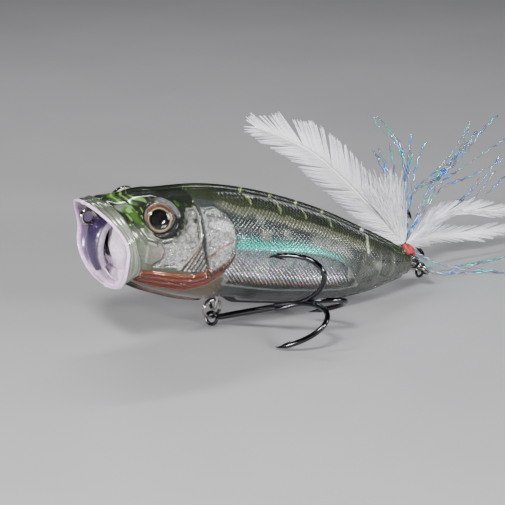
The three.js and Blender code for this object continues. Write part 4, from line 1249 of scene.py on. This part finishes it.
def strand(soup, points, local, width=0.17, crinkle=0.16, wave=2.3):
    """One flat crinkled tinsel fibre that twists along its length."""
    count = 90
    path = sample(points, count)
    length = np.linalg.norm(np.diff(path, axis=0), axis=1).sum()
    along = np.linspace(0, 1, count)
    tangents = np.gradient(path, axis=0)
    tangents /= np.linalg.norm(tangents, axis=1, keepdims=True)
    side = np.cross(tangents, VIEWED_FLAT)
    side /= np.linalg.norm(side, axis=1, keepdims=True)
    phase = local.uniform(0, 6.28)
    zigzag = np.abs(((along * length / wave + phase) % 1) * 2 - 1) - 0.5
    depth = np.sin(along * length / wave * 4.1 + phase)
    start = smooth_step(0, 0.12, along)[:, None]
    shake = side * (zigzag * crinkle * 2)[:, None] + VIEWED_FLAT * (depth * crinkle)[:, None]
    path = path + shake * start
    path[:, 2] = np.maximum(path[:, 2], 0.2)
    glint = 0.5 + 0.5 * np.sin(along * length / 0.9 + phase * 3)
    glint = np.clip(glint + local.normal(0, 0.12, count), 0, 1)
    tube = sweep(path, 4, np.full(count, width), np.full(count, 0.07), side[0], twist=length / 5.0)
    soup.add(*tube, np.concatenate([np.repeat(glint, 4), glint[:1], glint[-1:]]))


def tinsel(name, node, routes, seed, spread, each=1):
    """A bundle of strands: each listed route and a few that wander round it."""
    local = np.random.default_rng(seed)
    soup = Soup()
    for route in routes:
        route = np.array(route, float)
        for copy in range(each):
            moved = route.copy()
            if copy:
                drift = local.normal(0, spread, 3)
                share = np.linspace(0, 1, len(route))[:, None] ** 1.3
                moved = moved + drift * share + local.normal(0, spread * 0.12, route.shape) * share
            strand(soup, moved, local)
    return soup.piece(name, tinsel_material, "tail_hook", nodes=[node], slot="tinsel")


def tinsel_look():
    """Pearl tinsel that glints blue on some strands and teal on others."""
    m = Material("pearl_tinsel", Metallic=0.5, Roughness=0.2, Coat_Weight=0.8, Coat_Roughness=0.05)
    glint = m.attribute("shade")
    place = m.coordinates((1, 1, 1))
    patch = m.noise(place, 260, 2.0)
    pearl = m.ramp(glint, [(0.1, (0.20, 0.22, 0.34)), (0.6, (0.45, 0.52, 0.75)), (0.9, (0.04, 0.28, 0.95))])
    teal = m.ramp(glint, [(0.2, (0.20, 0.24, 0.36)), (0.7, (0.10, 0.45, 0.50)), (0.95, (0.0, 0.75, 0.55))])
    colour = m.mix(m.ramp(patch, [(0.48, (0, 0, 0)), (0.56, (1, 1, 1))]), pearl, teal)
    m.set("Base Color", colour)
    m.set("Normal", m.bump(m.noise(place, 5000, 2.0), 0.2, 0.00003))
    return m


def thread_wrap(eye_place, along):
    """Red thread wound side by side, thickest in the middle, under lacquer."""
    start, end, turns = 4.6, 7.4, 13
    soup = Soup()
    d = unit(along)
    u = unit(np.cross([0, 0, 1.0], d))
    v = np.cross(d, u)
    t = np.linspace(0, 1, turns * 26)
    radius = 0.62 + 0.35 * np.sin(math.pi * t)
    angle = t * turns * 2 * math.pi
    path = eye_place + np.outer(start + (end - start) * t, d)
    path += (np.outer(np.cos(angle), u) + np.outer(np.sin(angle), v)) * radius[:, None]
    soup.add(*sweep(path, 8, 0.15))
    core = [(0.5 + 0.38 * math.sin(math.pi * q), start + (end - start) * q) for q in np.linspace(0, 1, 16)]
    soup.add(*turned([(0, start), *core, (0, end)], eye_place, d, 32))
    return soup.piece(
        "thread_winding", thread_material, "tail_hook", nodes=["thread_wrap"], slot="thread_red"
    )


def thread_look():
    """Lacquered red thread."""
    m = Material("red_thread", Roughness=0.35, Coat_Weight=0.9, Coat_Roughness=0.08)
    fibre = m.noise(m.coordinates((1, 1, 1)), 6000, 4.0)
    m.set("Base Color", m.ramp(fibre, [(0.3, (0.20, 0.0, 0.001)), (0.7, (0.62, 0.0, 0.003))]))
    m.set("Normal", m.bump(fibre, 0.3, 0.00005))
    return m


# ---------------------------------------------------------------- stage, light, camera


def view_axes():
    """Unit vectors back from the lure to the camera, right and up."""
    a, e = math.radians(CAMERA_AZIMUTH), math.radians(CAMERA_ELEVATION)
    back = np.array([math.sin(a) * math.cos(e), -math.cos(a) * math.cos(e), math.sin(e)])
    right = np.array([math.cos(a), math.sin(a), 0])
    return back, right, np.cross(back, right)


def camera():
    """The camera, at the photo's angle."""
    back, right, up = view_axes()
    target = CAMERA_TARGET + right * CAMERA_NUDGE[0] + up * CAMERA_NUDGE[1]
    data = bpy.data.cameras.new("camera")
    data.sensor_width = SENSOR_WIDTH
    data.lens = PIXELS_PER_MM * CAMERA_DISTANCE / PICTURE_WIDTH * SENSOR_WIDTH
    data.clip_start, data.clip_end = 0.01, 20
    eye_point = bpy.data.objects.new("camera", data)
    eye_point.location = to_frame(target + back * CAMERA_DISTANCE)
    eye_point.rotation_euler = Vector(back).to_track_quat("Z", "Y").to_euler()
    bpy.context.scene.collection.objects.link(eye_point)
    bpy.context.scene.camera = eye_point


def area_light(name, direction, distance, size, power, colour=(1, 1, 1), aim=(0, 0, 10)):
    data = bpy.data.lights.new(name, "AREA")
    data.shape = "RECTANGLE"
    data.size, data.size_y = size[0] * MM, size[1] * MM
    data.energy = power
    data.color = colour
    lamp = bpy.data.objects.new(name, data)
    toward = unit(direction)
    lamp.location = to_frame(np.array(aim) + toward * distance)
    lamp.rotation_euler = Vector(toward).to_track_quat("Z", "Y").to_euler()
    bpy.context.scene.collection.objects.link(lamp)


def studio():
    """A pale floor, a weak world and five area lights, each aimed at the lure."""
    floor = bpy.data.meshes.new("floor")
    reach = 4.0
    corners = [(-reach, -reach, 0), (reach, -reach, 0), (reach, reach, 0), (-reach, reach, 0)]
    floor.from_pydata(corners, [], [(0, 1, 2, 3)])
    look = Material("pale_floor", Roughness=0.45)
    grain = look.noise(look.coordinates((1, 1, 1)), 30, 3.0)
    look.set("Base Color", look.ramp(grain, [(0.3, (0.355, 0.355, 0.365)), (0.7, (0.38, 0.38, 0.39))]))
    floor.materials.append(look.data)
    ground = bpy.data.objects.new("floor", floor)
    bpy.context.scene.collection.objects.link(ground)
    world = bpy.data.worlds.new("studio")
    world.use_nodes = True
    background = world.node_tree.nodes["Background"].inputs
    background["Color"].default_value = (0.85, 0.87, 0.9, 1)
    background["Strength"].default_value = 0.06
    bpy.context.scene.world = world
    area_light("key", (-0.6, -0.6, 0.9), 330, (80, 60), 1.25)
    area_light("top", (0.1, 0.75, 0.9), 320, (240, 14), 0.5)
    area_light("front", (0.21, -0.95, 0.26), 300, (56, 34), 0.85)
    area_light("fill", (0.6, -0.75, 0.45), 360, (60, 110), 0.45, (0.95, 0.97, 1.0))
    area_light("mouth", (-0.95, -0.28, 0.14), 300, (40, 30), 0.85, (1.0, 0.94, 1.0))


camera()
studio()

skin_material = skin_look()
inside_material = inside_look()
foil_material = foil_look()
mouth_material = mouth_look()
moulding_material = gloss_look("clear_moulding", (0.40, 0.42, 0.36), 0.25, 0.0, 0.6, Alpha=0.5)
iris_material = iris_look()
pupil_material = gloss_look("pupil_black", (0.003, 0.003, 0.003), 0.6, 0.0, 0.0, Specular_IOR_Level=0.1)
dome_material = dome_look()
steel_material = gloss_look("bright_wire", (0.34, 0.33, 0.31), 0.10, 1.0, 0.6)
hook_material = gloss_look("black_nickel", (0.035, 0.035, 0.04), 0.14, 1.0, 0.5)
feather_material = feather_look()
tinsel_material = tinsel_look()
thread_material = thread_look()
weight_material = gloss_look("keel_metal", (0.30, 0.30, 0.31), 0.4, 0.9, 0.0, 1800)
tube_material = gloss_look("rattle_tube_plastic", (0.22, 0.22, 0.22), 0.35, 0.0, 0.5)
ball_material = gloss_look("rattle_brass", (0.66, 0.47, 0.20), 0.2, 1.0, 0.0)

mouth_column()
for side in (1, -1):
    skin(side)
    foil_plate(side)
    inner_moulding(side)
    eye(side)

wires()
split_ring("belly_ring_wire", "belly_split_ring", "belly_ring", BELLY_RING, (0, 1, 0))
treble(
    "belly_hook_wire", "belly_treble", "belly_hook", BELLY_HOOK_EYE,
    along=(7.93, -11.66, 4.26), first_prong=(-0.256, 0.173, 0.951), eye_axis=(0.786, 0.574, -0.229),
    shank=14.73, gape=8.73, bend=8.06, tip_back=0.82, wire=0.45, eye_radius=1.0,
)

slope = np.array([math.cos(TAIL_SLOPE), 0, -math.sin(TAIL_SLOPE)])
tail_ring = TAIL_LINK + slope * RING_RADIUS
split_ring("tail_ring_wire", "tail_split_ring", "tail_ring", tail_ring, (-slope[2], 0, slope[0]))
lowest = slope * RING_RADIUS * math.cos(TAIL_TURN)
tail_eye = tail_ring + lowest + np.array([0, RING_RADIUS * math.sin(TAIL_TURN), 0])
tail_eye = tail_eye + TAIL_EYE_SLACK
treble(
    "tail_hook_wire", "tail_treble", "tail_hook", tail_eye,
    along=TAIL_ALONG, first_prong=(0.78, -0.02, -0.55), eye_axis=(-0.936, 0.1, 0.337),
    shank=9.2, gape=5.6, bend=5.4, tip_back=1.2, wire=0.36, eye_radius=1.2,
)
thread_wrap(tail_eye, TAIL_ALONG)

feather(
    "feather_side_plume", "feather_side",
    [
        (37.2, 8.6, 5.2), (33.5, 9.3, 9.6), (30.1, 10.2, 13.4), (25.2, 11, 18.6), (20.4, 12, 23.2),
        (15.9, 13, 26.1), (9.2, 14, 29.3),
    ],
    (3.9, 4.3), 21, fluff=0.25, widest=0.42, plume=420,
)
feather(
    "feather_rear_upper_plume", "feather_rear_upper",
    [(37.6, 8.8, 5.4), (44, 10.0, 8.3), (50, 10.4, 9.0), (58, 10.4, 8.2), (66, 10.4, 7.0)],
    (1.9, 1.9), 22, fluff=0.3, barbs=300, lean=0.2,
)
feather(
    "feather_rear_lower_plume", "feather_rear_lower",
    [(37.8, 9.6, 4.9), (45, 12.4, 4.6), (52, 12.8, 4.0), (60, 12.8, 3.6), (66, 12.6, 3.4)],
    (1.9, 1.9), 23, fluff=0.3, barbs=240, lean=0.24,
)
UPPER_TINSEL = [
    [(37.2, 8.8, 5.6), (37.8, 10.2, 20.6), (37.3, 11.5, 23.4), (36.4, 12.8, 25.0), (34.2, 13.2, 28.0)],
    [(37.4, 9.2, 6.0), (38.6, 10.5, 14.0), (39.6, 11.5, 20.0), (40.8, 12.5, 24.5)],
    [(37.0, 9.4, 6.0), (36.6, 10.4, 13.0), (35.2, 11.6, 18.5), (33.8, 12.6, 22.5)],
]
MIDDLE_TINSEL = [
    [(37.6, 9.0, 6.1), (40.2, 10.8, 14.3), (45.3, 12.5, 15.9), (51.7, 14.2, 19.9), (56.2, 16.0, 24.0)],
    [(37.8, 9.0, 6.0), (46.2, 11.8, 13.9), (54.7, 14.5, 16.4), (65.2, 16.2, 20.0)],
    [(37.8, 9.0, 5.5), (48.1, 12.3, 8.4), (57.5, 14.7, 9.2), (65.0, 16.0, 12.8)],
]
LOWER_TINSEL = [
    [(37.8, 8.6, 4.4), (43.4, 4.6, 1.4), (51.7, 4.0, 1.0), (58.6, 4.0, 1.4), (65, 4.4, 2.0)],
    [(37.6, 8.4, 4.2), (41.0, 3.6, 0.9), (44.8, 2.3, 1.2), (48.5, 1.0, 0.7), (54.1, -4.2, 0.6)],
]
tinsel("tinsel_upper_strands", "tinsel_upper", UPPER_TINSEL, 31, 1.8, 3)
tinsel("tinsel_middle_strands", "tinsel_middle", MIDDLE_TINSEL, 32, 2.2, 4)
tinsel("tinsel_lower_strands", "tinsel_lower", LOWER_TINSEL, 33, 1.4, 2)

inner_looks = {"keel_weight": weight_material, "rattle_tube": tube_material, "rattle_ball": ball_material}
for node, look in inner_looks.items():
    frame["nodes"][node].data.materials.clear()
    frame["nodes"][node].data.materials.append(look.data)
